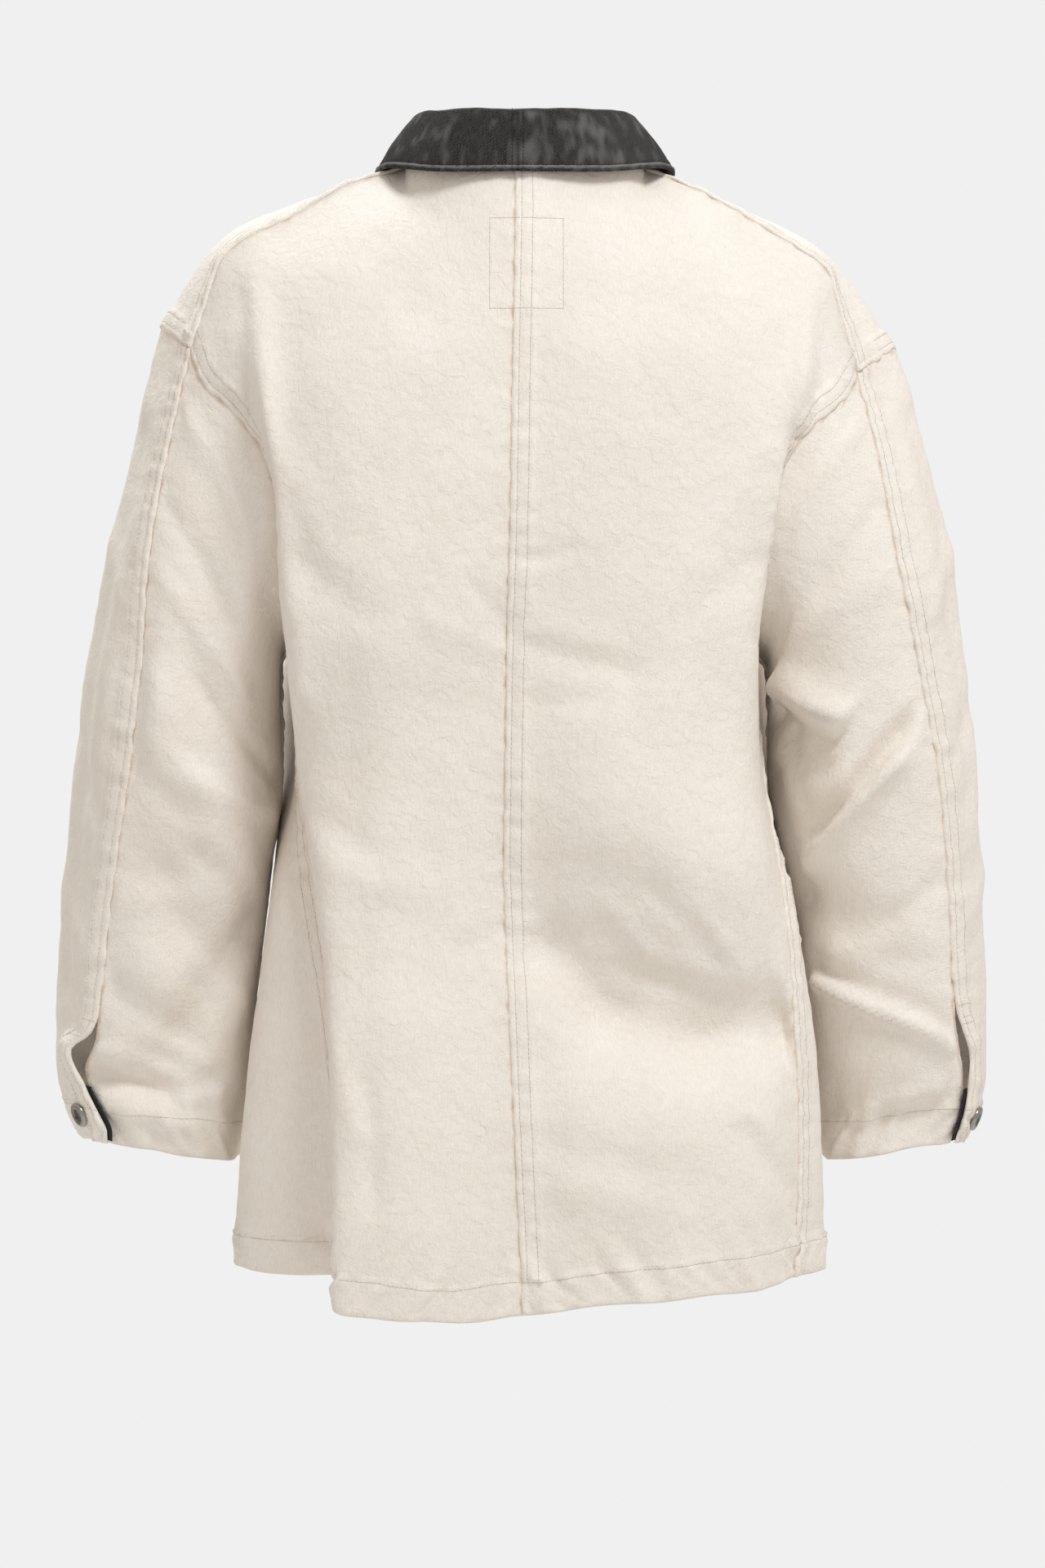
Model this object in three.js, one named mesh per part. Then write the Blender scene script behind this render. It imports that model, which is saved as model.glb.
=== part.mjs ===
// A chore jacket of heavy ecru cotton twill with a dark collar, hollow and in its worn shape.
// Millimetres, +Z up. The front faces -Y, the back +Y, and the jacket's left side is +X.
// The origin is at the middle of the neck opening, level with the collar seam at its back.
//
// Each cloth piece is a wall of even thickness round a middle surface. A surface is worked out
// from guide rows: a row crosses the piece from its centre line (s = 0) to its outer edge (s = 1),
// and the rows run from the hem (r = 0) to the neck and shoulder seam (r = 1).
import * as THREE from "three";

// Driving sizes
const CLOTH = 1.8; // thickness of the twill
const COLLAR_CLOTH = 2.4; // two layers of the collar's twill
const SEAM_GAP = 0.3; // space left between two pieces at a seam
const UNDERARM = 0.58; // row at which the side seam meets the armhole
const NECK_END = 0.36; // share of the top row that belongs to the neck, the rest is shoulder
const NECK_FALL = 2.2; // how late the neck seam falls to the centre front
const CREASE_LIMIT = 0.4; // least cosine of half a crease, so that a wall is not drawn out further
const CORNER_LIMIT = 0.3; // the same at a corner of a piece
const PLACKET = 0.06; // share of a front that passes the centre front
const PLACKET_LIFT = 1.9; // half the distance between the two lapped fronts
const BUTTON = { radius: 8.5, thick: 3, hole: 3.2, seat: 0.3, sides: 16 };
const BUTTON_RIM = { chamfer: 0.6, top: 1.4, inner: 1.2, sink: 0.45, shoulder: 0.4, slope: 0.9 };

const COLOURS = { ecru: 0xe9dfd2, dark: 0x33312f, metal: 0x4c4946 };

// How finely each piece is divided
const STEPS = { neck: 6, shoulder: 9, side: 14, armBack: 8, armFront: 10, sleeve: 20, collar: 8 };

// Shares of a piece over which folds and corrections fade out towards its seams
const FADE = { edge: 0.3, backSide: 0.12, backTop: 0.1, sleeveRing: 0.08, sleeveSeam: 0.12, vent: 0.22 };

// The centre back line, a little off the middle because the cloth is pulled over.
const CENTRE_BACK = [
  { r: 0, x: 0, y: 150, z: -733 },
  { r: 0.12, x: 4, y: 140, z: -645 },
  { r: 0.25, x: 8, y: 131, z: -560 },
  { r: 0.38, x: 12, y: 123, z: -465 },
  { r: 0.48, x: 11, y: 119, z: -395 },
  { r: 0.58, x: 10, y: 121, z: -310 },
  { r: 0.68, x: 8, y: 121, z: -240 },
  { r: 0.78, x: 7, y: 116, z: -172 },
  { r: 0.87, x: 6, y: 106, z: -110 },
  { r: 0.94, x: 5, y: 91, z: -53 },
  { r: 1, x: 4.7, y: 70, z: -2 },
];

// The centre front line.
const CENTRE_FRONT = [
  { r: 0, y: -128, z: -714 },
  { r: 0.12, y: -128, z: -640 },
  { r: 0.25, y: -128, z: -560 },
  { r: 0.38, y: -128, z: -470 },
  { r: 0.48, y: -130, z: -395 },
  { r: 0.58, y: -134, z: -325 },
  { r: 0.65, y: -136, z: -280 },
  { r: 0.72, y: -134, z: -232 },
  { r: 0.79, y: -127, z: -185 },
  { r: 0.87, y: -112, z: -138 },
  { r: 0.935, y: -94, z: -102 },
  { r: 1, y: -74, z: -68 },
];

// How far along a row its three inner points lie, and how much of the row's lift each takes.
const ROW_STOPS = { inner: 0.36, middle: 0.62, outer: 0.84 };
const ROW_LIFT = { inner: 1, middle: 0.9, outer: 0.55 };

// Guide rows of the back: distance out from the middle and depth of the inner, middle and outer point.
const BACK_ROWS = {
  left: [
    { r: 0, lift: 0, drop: -12, innerX: 50, innerY: 152, middleX: 92, middleY: 153, outerX: 120, outerY: 146 },
    { r: 0.12, lift: 0, drop: -9, innerX: 52, innerY: 143, middleX: 93, middleY: 146, outerX: 120, outerY: 140 },
    { r: 0.25, lift: 0, drop: -5, innerX: 54, innerY: 135, middleX: 95, middleY: 138, outerX: 122, outerY: 131 },
    { r: 0.38, lift: 0, drop: 0, innerX: 57, innerY: 127, middleX: 99, middleY: 127, outerX: 131, outerY: 112 },
    { r: 0.48, lift: 0, drop: 0, innerX: 59, innerY: 123, middleX: 104, middleY: 120, outerX: 142, outerY: 96 },
    { r: 0.58, lift: 6, drop: 0, innerX: 62, innerY: 124, middleX: 109, middleY: 121, outerX: 151, outerY: 93 },
    { r: 0.68, lift: 20, drop: 0, innerX: 66, innerY: 122, middleX: 115, middleY: 116, outerX: 155, outerY: 93 },
    { r: 0.78, lift: 22, drop: 0, innerX: 70, innerY: 116, middleX: 122, middleY: 109, outerX: 158, outerY: 96 },
    { r: 0.87, lift: 28, drop: 0, innerX: 74, innerY: 103, middleX: 130, middleY: 98, outerX: 168, outerY: 88 },
    { r: 0.94, lift: 40, drop: 0, innerX: 77, innerY: 74, middleX: 138, middleY: 76, outerX: 178, outerY: 70 },
  ],
  right: [
    { r: 0, lift: 0, drop: 0, innerX: 56, innerY: 150, middleX: 104, middleY: 144, outerX: 148, outerY: 120 },
    { r: 0.12, lift: 0, drop: 0, innerX: 56, innerY: 140, middleX: 104, middleY: 134, outerX: 149, outerY: 114 },
    { r: 0.25, lift: 0, drop: 0, innerX: 57, innerY: 131, middleX: 104, middleY: 125, outerX: 149, outerY: 106 },
    { r: 0.38, lift: 0, drop: 0, innerX: 58, innerY: 124, middleX: 104, middleY: 118, outerX: 146, outerY: 96 },
    { r: 0.48, lift: 0, drop: 0, innerX: 60, innerY: 122, middleX: 104, middleY: 116, outerX: 144, outerY: 88 },
    { r: 0.58, lift: 6, drop: 0, innerX: 62, innerY: 124, middleX: 108, middleY: 119, outerX: 147, outerY: 90 },
    { r: 0.68, lift: 20, drop: 0, innerX: 66, innerY: 122, middleX: 113, middleY: 115, outerX: 152, outerY: 93 },
    { r: 0.78, lift: 22, drop: 0, innerX: 70, innerY: 116, middleX: 122, middleY: 109, outerX: 160, outerY: 96 },
    { r: 0.87, lift: 28, drop: 0, innerX: 74, innerY: 103, middleX: 130, middleY: 98, outerX: 168, outerY: 88 },
    { r: 0.94, lift: 40, drop: 0, innerX: 77, innerY: 74, middleX: 138, middleY: 76, outerX: 178, outerY: 70 },
  ],
};

// Guide rows of the fronts, which run round the side to the seam behind it and over the shoulder.
const FRONT_ROWS = {
  left: [
    { r: 0, lift: 0, innerX: 100, innerY: -120, middleX: 162, middleY: -60, outerX: 182, outerY: 62 },
    { r: 0.12, lift: 0, innerX: 100, innerY: -120, middleX: 159, middleY: -60, outerX: 179, outerY: 62 },
    { r: 0.25, lift: 0, innerX: 100, innerY: -120, middleX: 158, middleY: -72, outerX: 172, outerY: 58 },
    { r: 0.38, lift: 0, innerX: 100, innerY: -122, middleX: 160, middleY: -80, outerX: 160.5, outerY: 50 },
    { r: 0.48, lift: 0, innerX: 100, innerY: -125, middleX: 166, middleY: -84, outerX: 151, outerY: 2 },
    { r: 0.58, lift: 4, innerX: 98, innerY: -128, middleX: 160, middleY: -94, outerX: 151.5, outerY: -42 },
    { r: 0.65, lift: 29, innerX: 98, innerY: -129, middleX: 137, middleY: -104, outerX: 147, outerY: -80 },
    { r: 0.72, lift: 36, innerX: 97, innerY: -123, middleX: 138, middleY: -107, outerX: 153, outerY: -96 },
    { r: 0.79, lift: 45, innerX: 95, innerY: -108, middleX: 148, middleY: -97, outerX: 172, outerY: -92 },
    { r: 0.87, lift: 62, innerX: 91, innerY: -76, middleX: 158, middleY: -64, outerX: 198, outerY: -60 },
    { r: 0.935, lift: 84, innerX: 84, innerY: -30, middleX: 162, middleY: -14, outerX: 210, outerY: -6 },
  ],
  right: [
    { r: 0, lift: 0, innerX: 102, innerY: -120, middleX: 168, middleY: -58, outerX: 193, outerY: 46 },
    { r: 0.12, lift: 0, innerX: 102, innerY: -120, middleX: 166, middleY: -58, outerX: 192, outerY: 46 },
    { r: 0.25, lift: 0, innerX: 101, innerY: -120, middleX: 158, middleY: -62, outerX: 186, outerY: 46 },
    { r: 0.38, lift: 0, innerX: 100, innerY: -122, middleX: 163, middleY: -78, outerX: 171, outerY: 42 },
    { r: 0.48, lift: 0, innerX: 100, innerY: -125, middleX: 166, middleY: -84, outerX: 153, outerY: -6 },
    { r: 0.58, lift: 4, innerX: 98, innerY: -128, middleX: 160, middleY: -94, outerX: 149.5, outerY: -42 },
    { r: 0.65, lift: 29, innerX: 98, innerY: -129, middleX: 137, middleY: -104, outerX: 147, outerY: -80 },
    { r: 0.72, lift: 36, innerX: 97, innerY: -123, middleX: 138, middleY: -107, outerX: 153, outerY: -96 },
    { r: 0.79, lift: 45, innerX: 95, innerY: -108, middleX: 148, middleY: -97, outerX: 172, outerY: -92 },
    { r: 0.87, lift: 62, innerX: 91, innerY: -76, middleX: 158, middleY: -64, outerX: 198, outerY: -60 },
    { r: 0.935, lift: 84, innerX: 84, innerY: -30, middleX: 162, middleY: -14, outerX: 210, outerY: -6 },
  ],
};

// Side seams from hem to underarm. The left one lies hidden under the lapped fold of the back.
const SIDE_SEAM = {
  left: [
    { r: 0, out: 110, y: 110, z: -714 },
    { r: 0.12, out: 112, y: 107, z: -638 },
    { r: 0.25, out: 119, y: 99, z: -556 },
    { r: 0.38, out: 135, y: 76, z: -466 },
    { r: 0.48, out: 146, y: 48, z: -392 },
    { r: 0.58, out: 152, y: 8, z: -310 },
  ],
  right: [
    { r: 0, out: 172, y: 86, z: -717 },
    { r: 0.12, out: 176, y: 82, z: -640 },
    { r: 0.25, out: 174, y: 76, z: -558 },
    { r: 0.38, out: 166, y: 62, z: -466 },
    { r: 0.48, out: 155, y: 34, z: -393 },
    { r: 0.58, out: 150, y: 6, z: -315 },
  ],
};

// Armholes from the underarm to the end of the shoulder seam, behind and in front.
const ARM_BACK = {
  left: [
    { r: 0.58, out: 152, y: 8, z: -310 },
    { r: 0.66, out: 149, y: 50, z: -290 },
    { r: 0.75, out: 153, y: 78, z: -240 },
    { r: 0.86, out: 171, y: 80, z: -182 },
    { r: 0.91, out: 188, y: 72, z: -160 },
    { r: 0.955, out: 206, y: 60, z: -143 },
    { r: 1, out: 217, y: 46, z: -119 },
  ],
  right: [
    { r: 0.58, out: 150, y: 6, z: -315 },
    { r: 0.66, out: 148, y: 50, z: -295 },
    { r: 0.75, out: 152, y: 78, z: -245 },
    { r: 0.86, out: 170, y: 80, z: -188 },
    { r: 0.91, out: 187, y: 73, z: -168 },
    { r: 0.955, out: 205, y: 60, z: -153 },
    { r: 1, out: 216, y: 46, z: -134 },
  ],
};
const ARM_FRONT = {
  left: [
    { r: 0.58, out: 152, y: 8, z: -310 },
    { r: 0.65, out: 150, y: -48, z: -292 },
    { r: 0.72, out: 160, y: -82, z: -240 },
    { r: 0.79, out: 190, y: -84, z: -180 },
    { r: 0.87, out: 224, y: -52, z: -126 },
    { r: 0.935, out: 240, y: -4, z: -99 },
    { r: 1, out: 217, y: 46, z: -119 },
  ],
  right: [
    { r: 0.58, out: 150, y: 6, z: -315 },
    { r: 0.65, out: 149, y: -48, z: -297 },
    { r: 0.72, out: 160, y: -82, z: -247 },
    { r: 0.79, out: 191, y: -84, z: -188 },
    { r: 0.87, out: 226, y: -52, z: -138 },
    { r: 0.935, out: 244, y: -4, z: -113 },
    { r: 1, out: 216, y: 46, z: -134 },
  ],
};

// Shoulder seams, from the neck over the dropped shoulder to the armhole, set behind the crest.
const SHOULDER_SEAM = {
  left: [
    { t: 0, out: 78, y: 12, z: 3 },
    { t: 0.19, out: 114, y: 22, z: -8 },
    { t: 0.46, out: 160, y: 30, z: -34 },
    { t: 0.59, out: 184, y: 34, z: -46 },
    { t: 0.69, out: 198, y: 38, z: -60 },
    { t: 0.81, out: 206, y: 42, z: -83 },
    { t: 1, out: 217, y: 46, z: -119 },
  ],
  right: [
    { t: 0, out: 78, y: 12, z: 3 },
    { t: 0.19, out: 110, y: 22, z: -11 },
    { t: 0.46, out: 156, y: 30, z: -38 },
    { t: 0.58, out: 180, y: 34, z: -53 },
    { t: 0.67, out: 197, y: 38, z: -67 },
    { t: 0.79, out: 204, y: 41, z: -92 },
    { t: 1, out: 216, y: 46, z: -134 },
  ],
};

// Sleeve rings from the armhole (f = 0) to the cuff (f = 1): the outermost and innermost point of
// each, how far it reaches to the front and back, and the angles of the back and underarm seams.
const SLEEVE_RINGS = {
  left: [
    { f: 0, outerX: 240, outerZ: -99, innerX: 152, innerZ: -310, front: -85, back: 80, seam: 50, under: 178 },
    { f: 0.12, outerX: 254, outerZ: -155, innerX: 160, innerZ: -321, front: -84, back: 78, seam: 53, under: 180 },
    { f: 0.25, outerX: 269, outerZ: -218, innerX: 160, innerZ: -354, front: -80, back: 74, seam: 58, under: 184 },
    { f: 0.4, outerX: 283, outerZ: -295, innerX: 160, innerZ: -402, front: -76, back: 68, seam: 64, under: 189 },
    { f: 0.55, outerX: 296, outerZ: -375, innerX: 166, innerZ: -452, front: -72, back: 62, seam: 66, under: 194 },
    { f: 0.7, outerX: 304, outerZ: -460, innerX: 173, innerZ: -512, front: -68, back: 54, seam: 62, under: 198 },
    { f: 0.85, outerX: 310, outerZ: -555, innerX: 181, innerZ: -585, front: -62, back: 48, seam: 59, under: 202 },
    { f: 0.95, outerX: 307, outerZ: -607, innerX: 186, innerZ: -630, front: -57, back: 45, seam: 56, under: 204 },
    { f: 1, outerX: 296, outerZ: -634, innerX: 188, innerZ: -650, front: -54, back: 42, seam: 53, under: 205 },
  ],
  right: [
    { f: 0, outerX: 244, outerZ: -113, innerX: 150, innerZ: -315, front: -85, back: 80, seam: 50, under: 178 },
    { f: 0.12, outerX: 261, outerZ: -158, innerX: 159, innerZ: -326, front: -84, back: 78, seam: 58, under: 180 },
    { f: 0.25, outerX: 277, outerZ: -222, innerX: 160, innerZ: -358, front: -80, back: 74, seam: 65, under: 184 },
    { f: 0.4, outerX: 287, outerZ: -300, innerX: 163, innerZ: -404, front: -76, back: 68, seam: 60, under: 189 },
    { f: 0.55, outerX: 296, outerZ: -375, innerX: 172, innerZ: -452, front: -72, back: 62, seam: 56, under: 194 },
    { f: 0.7, outerX: 301, outerZ: -462, innerX: 181, innerZ: -512, front: -68, back: 54, seam: 54, under: 198 },
    { f: 0.85, outerX: 305, outerZ: -550, innerX: 189, innerZ: -582, front: -62, back: 48, seam: 54, under: 202 },
    { f: 0.95, outerX: 302, outerZ: -612, innerX: 193, innerZ: -630, front: -57, back: 45, seam: 46, under: 204 },
    { f: 1, outerX: 291, outerZ: -636, innerX: 196, innerZ: -650, front: -54, back: 42, seam: 40, under: 205 },
  ],
};
const SLEEVE_LENGTH = 560;
const DEGREE_LENGTH = 1.2; // millimetres of cloth to a degree round a sleeve
const ARMHOLE_FADE = 0.34; // share of a sleeve over which its rings leave the armhole's shape

// The open vent at the end of each sleeve's back seam: how far the lapping edge passes the other
// one (minus is an open gap), and how far it stands out from it.
const VENT = {
  left: [
    { f: 0.8, over: 0, out: 0 },
    { f: 0.84, over: -3, out: 2.5 },
    { f: 0.88, over: -9, out: 6 },
    { f: 0.92, over: -4, out: 6 },
    { f: 0.95, over: 5, out: 4.6 },
    { f: 1, over: 8, out: 4.6 },
  ],
  right: [
    { f: 0.8, over: 0, out: 0 },
    { f: 0.84, over: -2, out: 2.5 },
    { f: 0.88, over: -5, out: 5 },
    { f: 0.92, over: -2, out: 5 },
    { f: 0.95, over: 4, out: 5.2 },
    { f: 1, over: 6, out: 5.2 },
  ],
};
const FACING = { thick: 1, wide: 9, proud: 3, reach: 0.5, hem: 0.004 };
const CUFF_WIDTH = 190; // cloth round the front piece of a cuff
const CUFF_MIDDLE = 240; // distance of a cuff's middle from the middle of the jacket
const CUFF_BUTTON = { u: 0.075, f: 0.965 };
const FRONT_BUTTONS = [0.945, 0.77, 0.6, 0.425, 0.26]; // rows of the front at which they sit

// Largest folds. A fold is a soft ridge (plus) or trough (minus) along a line seen from behind.
const BACK_FOLDS = [
  { name: "left armhole ridge", fromX: 176, fromZ: -70, toX: 150, toZ: -345, width: 13, height: 9 },
  { name: "left armhole hollow", fromX: 196, fromZ: -90, toX: 168, toZ: -300, width: 12, height: -8 },
  { name: "right armhole ridge", fromX: -192, fromZ: -80, toX: -158, toZ: -320, width: 13, height: 10 },
  { name: "right armhole hollow", fromX: -205, fromZ: -100, toX: -176, toZ: -290, width: 12, height: -8 },
  { name: "right bulge", fromX: -50, fromZ: -400, toX: -120, toZ: -445, width: 60, height: 13 },
  { name: "right valley", fromX: -25, fromZ: -490, toX: -165, toZ: -545, width: 38, height: -17 },
  { name: "right flare", fromX: -40, fromZ: -620, toX: -150, toZ: -600, width: 42, height: 9 },
  { name: "left blade", fromX: 120, fromZ: -150, toX: 100, toZ: -300, width: 55, height: 7 },
  { name: "left skirt bulge", fromX: 80, fromZ: -560, toX: 70, toZ: -680, width: 45, height: 8 },
  { name: "left waist hollow", fromX: 30, fromZ: -330, toX: 110, toZ: -400, width: 40, height: -6 },
];

// Folds of the sleeves: the ring and angle where each starts and ends, its width and height.
const SLEEVE_FOLDS = {
  left: [
    { name: "top hollow", fromF: 0.1, toF: 0.45, fromA: 92, toA: 100, width: 20, height: -7 },
    { name: "outer trough", fromF: 0.15, toF: 0.8, fromA: 28, toA: 24, width: 16, height: -5 },
    { name: "elbow swell", fromF: 0.42, toF: 0.6, fromA: 80, toA: 130, width: 26, height: 6 },
    { name: "lower hollow", fromF: 0.66, toF: 0.78, fromA: 95, toA: 125, width: 24, height: -6 },
    { name: "cuff crumple", fromF: 0.86, toF: 0.9, fromA: 75, toA: 130, width: 16, height: 4 },
    { name: "front elbow fold", fromF: 0.5, toF: 0.56, fromA: 240, toA: 300, width: 20, height: -7 },
    { name: "front lower fold", fromF: 0.68, toF: 0.72, fromA: 235, toA: 310, width: 20, height: -6 },
  ],
  right: [
    { name: "elbow ridge", fromF: 0.42, toF: 0.34, fromA: 165, toA: 92, width: 15, height: 11 },
    { name: "elbow hollow", fromF: 0.5, toF: 0.44, fromA: 160, toA: 85, width: 17, height: -12 },
    { name: "second ridge", fromF: 0.62, toF: 0.53, fromA: 130, toA: 70, width: 15, height: 8 },
    { name: "third hollow", fromF: 0.7, toF: 0.66, fromA: 140, toA: 80, width: 18, height: -8 },
    { name: "cuff ridge", fromF: 0.84, toF: 0.82, fromA: 140, toA: 62, width: 15, height: 7 },
    { name: "outer trough", fromF: 0.12, toF: 0.6, fromA: 26, toA: 28, width: 15, height: -4 },
    { name: "front elbow fold", fromF: 0.48, toF: 0.55, fromA: 240, toA: 300, width: 20, height: -7 },
    { name: "front lower fold", fromF: 0.66, toF: 0.7, fromA: 235, toA: 310, width: 20, height: -6 },
  ],
};

// The collar from the centre back (u = 0) to the centre front (u = 1): the line along which it
// folds over and the line of its lower edge.
const COLLAR_FOLD = [
  { u: 0, out: 0, y: 65, z: 32 },
  { u: 0.22, out: 44, y: 53, z: 34 },
  { u: 0.44, out: 72, y: 10, z: 35 },
  { u: 0.62, out: 67, y: -28, z: 16 },
  { u: 0.82, out: 38, y: -62, z: -22 },
  { u: 1, out: 0, y: -78, z: -45 },
];
const COLLAR_EDGE = [
  { u: 0, out: 0, y: 85, z: -8 },
  { u: 0.22, out: 54, y: 78, z: -7 },
  { u: 0.44, out: 99, y: 14, z: 4 },
  { u: 0.62, out: 101, y: -30, z: -5 },
  { u: 0.82, out: 88, y: -82, z: -58 },
  { u: 1, out: 60, y: -112, z: -104 },
];
const COLLAR_ROLL = 3.4; // half the thickness of the roll at the fold
const COLLAR_STAND_IN = 1.5; // how far the stand leans in between the seam and the fold
const COLLAR_FALL_OUT = 2.5; // how far the outer leaf swells
const COLLAR_FRONT_GAP = 5; // distance of each collar end from the centre front
const COLLAR_FRONT_SHARE = 0.25; // share of the collar over which it moves out to that distance
const COLLAR_SIDE = 0.44; // share of the collar that lies behind the shoulder seams

const sign = { left: 1, right: -1 };
const vec = (x, y, z) => new THREE.Vector3(x, y, z);
const mix = (a, b, t) => a + (b - a) * t;
const clamp01 = (t) => Math.min(1, Math.max(0, t));
const smooth = (t) => clamp01(t) ** 2 * (3 - 2 * clamp01(t));

// A smooth curve through knots { at, p }. With level, it starts straight across the middle.
function through(knots, at, level = false) {
  const last = knots.length - 1;
  let k = 0;
  while (k < last - 1 && at > knots[k + 1].at) k += 1;
  const chord = (i) => knots[i + 1].p.clone().sub(knots[i].p).divideScalar(knots[i + 1].at - knots[i].at);
  const slope = (i) => {
    if (i === last) return chord(last - 1);
    if (i === 0) return level ? vec(chord(0).x, 0, 0) : chord(0);
    const before = knots[i].at - knots[i - 1].at;
    const after = knots[i + 1].at - knots[i].at;
    return chord(i - 1).multiplyScalar(after).addScaledVector(chord(i), before).divideScalar(before + after);
  };
  const h = knots[k + 1].at - knots[k].at;
  const t = (at - knots[k].at) / h;
  return vec(0, 0, 0)
    .addScaledVector(knots[k].p, (1 + 2 * t) * (1 - t) ** 2)
    .addScaledVector(slope(k), h * t * (1 - t) ** 2)
    .addScaledVector(knots[k + 1].p, t * t * (3 - 2 * t))
    .addScaledVector(slope(k + 1), -h * t * t * (1 - t));
}

// A table's value between its rows, for every column that is a number.
function tableAt(table, column, at) {
  const knots = table.map((row) => ({ at: row[column], row }));
  const value = {};
  for (const name of Object.keys(table[0])) {
    if (typeof table[0][name] !== "number") continue;
    value[name] = through(knots.map(({ at: place, row }) => ({ at: place, p: vec(row[name], 0, 0) })), at).x;
  }
  return value;
}

const lineKnots = (side, table, column) =>
  table.map((row) => ({ at: row[column], p: vec(sign[side] * row.out, row.y, row.z) }));

const centreBack = (r) => through(CENTRE_BACK.map((c) => ({ at: c.r, p: vec(c.x, c.y, c.z) })), r);
const centreFront = (r) => through(CENTRE_FRONT.map((c) => ({ at: c.r, p: vec(0, c.y, c.z) })), r);
const sideSeam = (side, r) => through(lineKnots(side, SIDE_SEAM[side], "r"), r);
const armhole = (side, table, r) => through(lineKnots(side, table[side], "r"), r);
const outerEdge = (side, table, r) => (r <= UNDERARM ? sideSeam(side, r) : armhole(side, table, r));
const shoulderSeam = (side, t) => through(lineKnots(side, SHOULDER_SEAM[side], "t"), t);

// The neck seam is a quarter oval from the centre line c to the end of the shoulder seam. It
// stays high at the side of the neck and falls late.
function neck(side, c, share) {
  const end = shoulderSeam(side, 0);
  const angle = (share * Math.PI) / 2;
  const fall = Math.cos(angle) ** NECK_FALL;
  return vec(mix(c.x, end.x, Math.sin(angle)), mix(end.y, c.y, Math.cos(angle)), mix(end.z, c.z, fall));
}

function topRow(side, c, s) {
  return s <= NECK_END ? neck(side, c, s / NECK_END) : shoulderSeam(side, (s - NECK_END) / (1 - NECK_END));
}

// One guide row, from the centre line c over its three inner points to the edge e.
function guideRow(side, row, c, e, s) {
  const stop = (name) => {
    const at = ROW_STOPS[name];
    const z = mix(c.z, e.z, at) + row.lift * ROW_LIFT[name] + (row.drop || 0);
    return { at, p: vec(sign[side] * row[name + "X"], row[name + "Y"], z) };
  };
  return through([{ at: 0, p: c }, stop("inner"), stop("middle"), stop("outer"), { at: 1, p: e }], s, true);
}

// A point of a panel: its guide rows are joined by a smooth curve from hem to top.
function panelPoint(side, rows, centre, armTable, s, r) {
  const knots = rows.map((row) => ({
    at: row.r,
    p: guideRow(side, row, centre(row.r), outerEdge(side, armTable, row.r), s),
  }));
  knots.push({ at: 1, p: topRow(side, centre(1), s) });
  const edgeKnots = knots.map(({ at }) => ({ at, p: outerEdge(side, armTable, at) }));
  const off = outerEdge(side, armTable, r).sub(through(edgeKnots, r));
  return through(knots, r).addScaledVector(off, smooth((s - 1 + FADE.edge) / FADE.edge));
}

// The height of a set of folds at a place, each fading out at its ends.
function foldHeight(folds, x, z) {
  let height = 0;
  for (const fold of folds) {
    const runX = fold.toX - fold.fromX;
    const runZ = fold.toZ - fold.fromZ;
    const along = clamp01(((x - fold.fromX) * runX + (z - fold.fromZ) * runZ) / (runX ** 2 + runZ ** 2));
    const far = Math.hypot(x - fold.fromX - along * runX, z - fold.fromZ - along * runZ);
    height += fold.height * Math.exp(-((far / fold.width) ** 2));
  }
  return height;
}

function backPoint(side, s, r) {
  const p = panelPoint(side, BACK_ROWS[side], centreBack, ARM_BACK, s, r);
  const inside = smooth((1 - s) / FADE.backSide) * smooth((1 - r) / FADE.backTop);
  p.y += foldHeight(BACK_FOLDS, p.x, p.z) * inside;
  return p;
}

// The fronts pass the centre line, the left one over the right one.
function frontPoint(side, s, r) {
  const p = panelPoint(side, FRONT_ROWS[side], centreFront, ARM_FRONT, Math.abs(s), r);
  if (s < 0) p.x *= -1;
  p.y -= sign[side] * PLACKET_LIFT * (1 - smooth((s - PLACKET) / PLACKET));
  return p;
}

// A point of a sleeve: u runs from its back seam round to the underarm seam.
function sleevePoint(side, back, u, f) {
  const turn = (ring) => ring.seam + u * (back ? ring.under - ring.seam : ring.under - 360 - ring.seam);
  const oval = (ring) => {
    const angle = THREE.MathUtils.degToRad(turn(ring));
    const across = (Math.cos(angle) + 1) / 2;
    return vec(
      sign[side] * mix(ring.innerX, ring.outerX, across),
      mix(ring.front, ring.back, (Math.sin(angle) + 1) / 2),
      mix(ring.innerZ, ring.outerZ, across),
    );
  };
  const rings = SLEEVE_RINGS[side];
  const p = through(rings.map((ring) => ({ at: ring.f, p: oval(ring) })), f);
  const start = armhole(side, back ? ARM_BACK : ARM_FRONT, 1 - u * (1 - UNDERARM));
  p.addScaledVector(start.sub(oval(rings[0])), 1 - smooth(f / ARMHOLE_FADE));
  const ring = tableAt(rings, "f", f);
  const middle = vec((sign[side] * (ring.outerX + ring.innerX)) / 2, (ring.front + ring.back) / 2, 0);
  const outward = vec(p.x - middle.x, p.y - middle.y, 0).normalize();
  const degrees = ((turn(ring) % 360) + 360) % 360;
  const edgeFade = smooth(f / FADE.sleeveRing) * smooth(Math.min(u, 1 - u) / FADE.sleeveSeam);
  p.addScaledVector(outward, sleeveFoldHeight(side, degrees, f) * edgeFade);
  if (!back && f > VENT[side][0].f) openVent(side, p, outward, u, f);
  return p;
}

function sleeveFoldHeight(side, degrees, f) {
  const folds = SLEEVE_FOLDS[side].map((fold) => ({
    fromX: fold.fromA * DEGREE_LENGTH,
    toX: fold.toA * DEGREE_LENGTH,
    fromZ: fold.fromF * SLEEVE_LENGTH,
    toZ: fold.toF * SLEEVE_LENGTH,
    width: fold.width,
    height: fold.height,
  }));
  return foldHeight(folds, degrees * DEGREE_LENGTH, f * SLEEVE_LENGTH);
}

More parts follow.
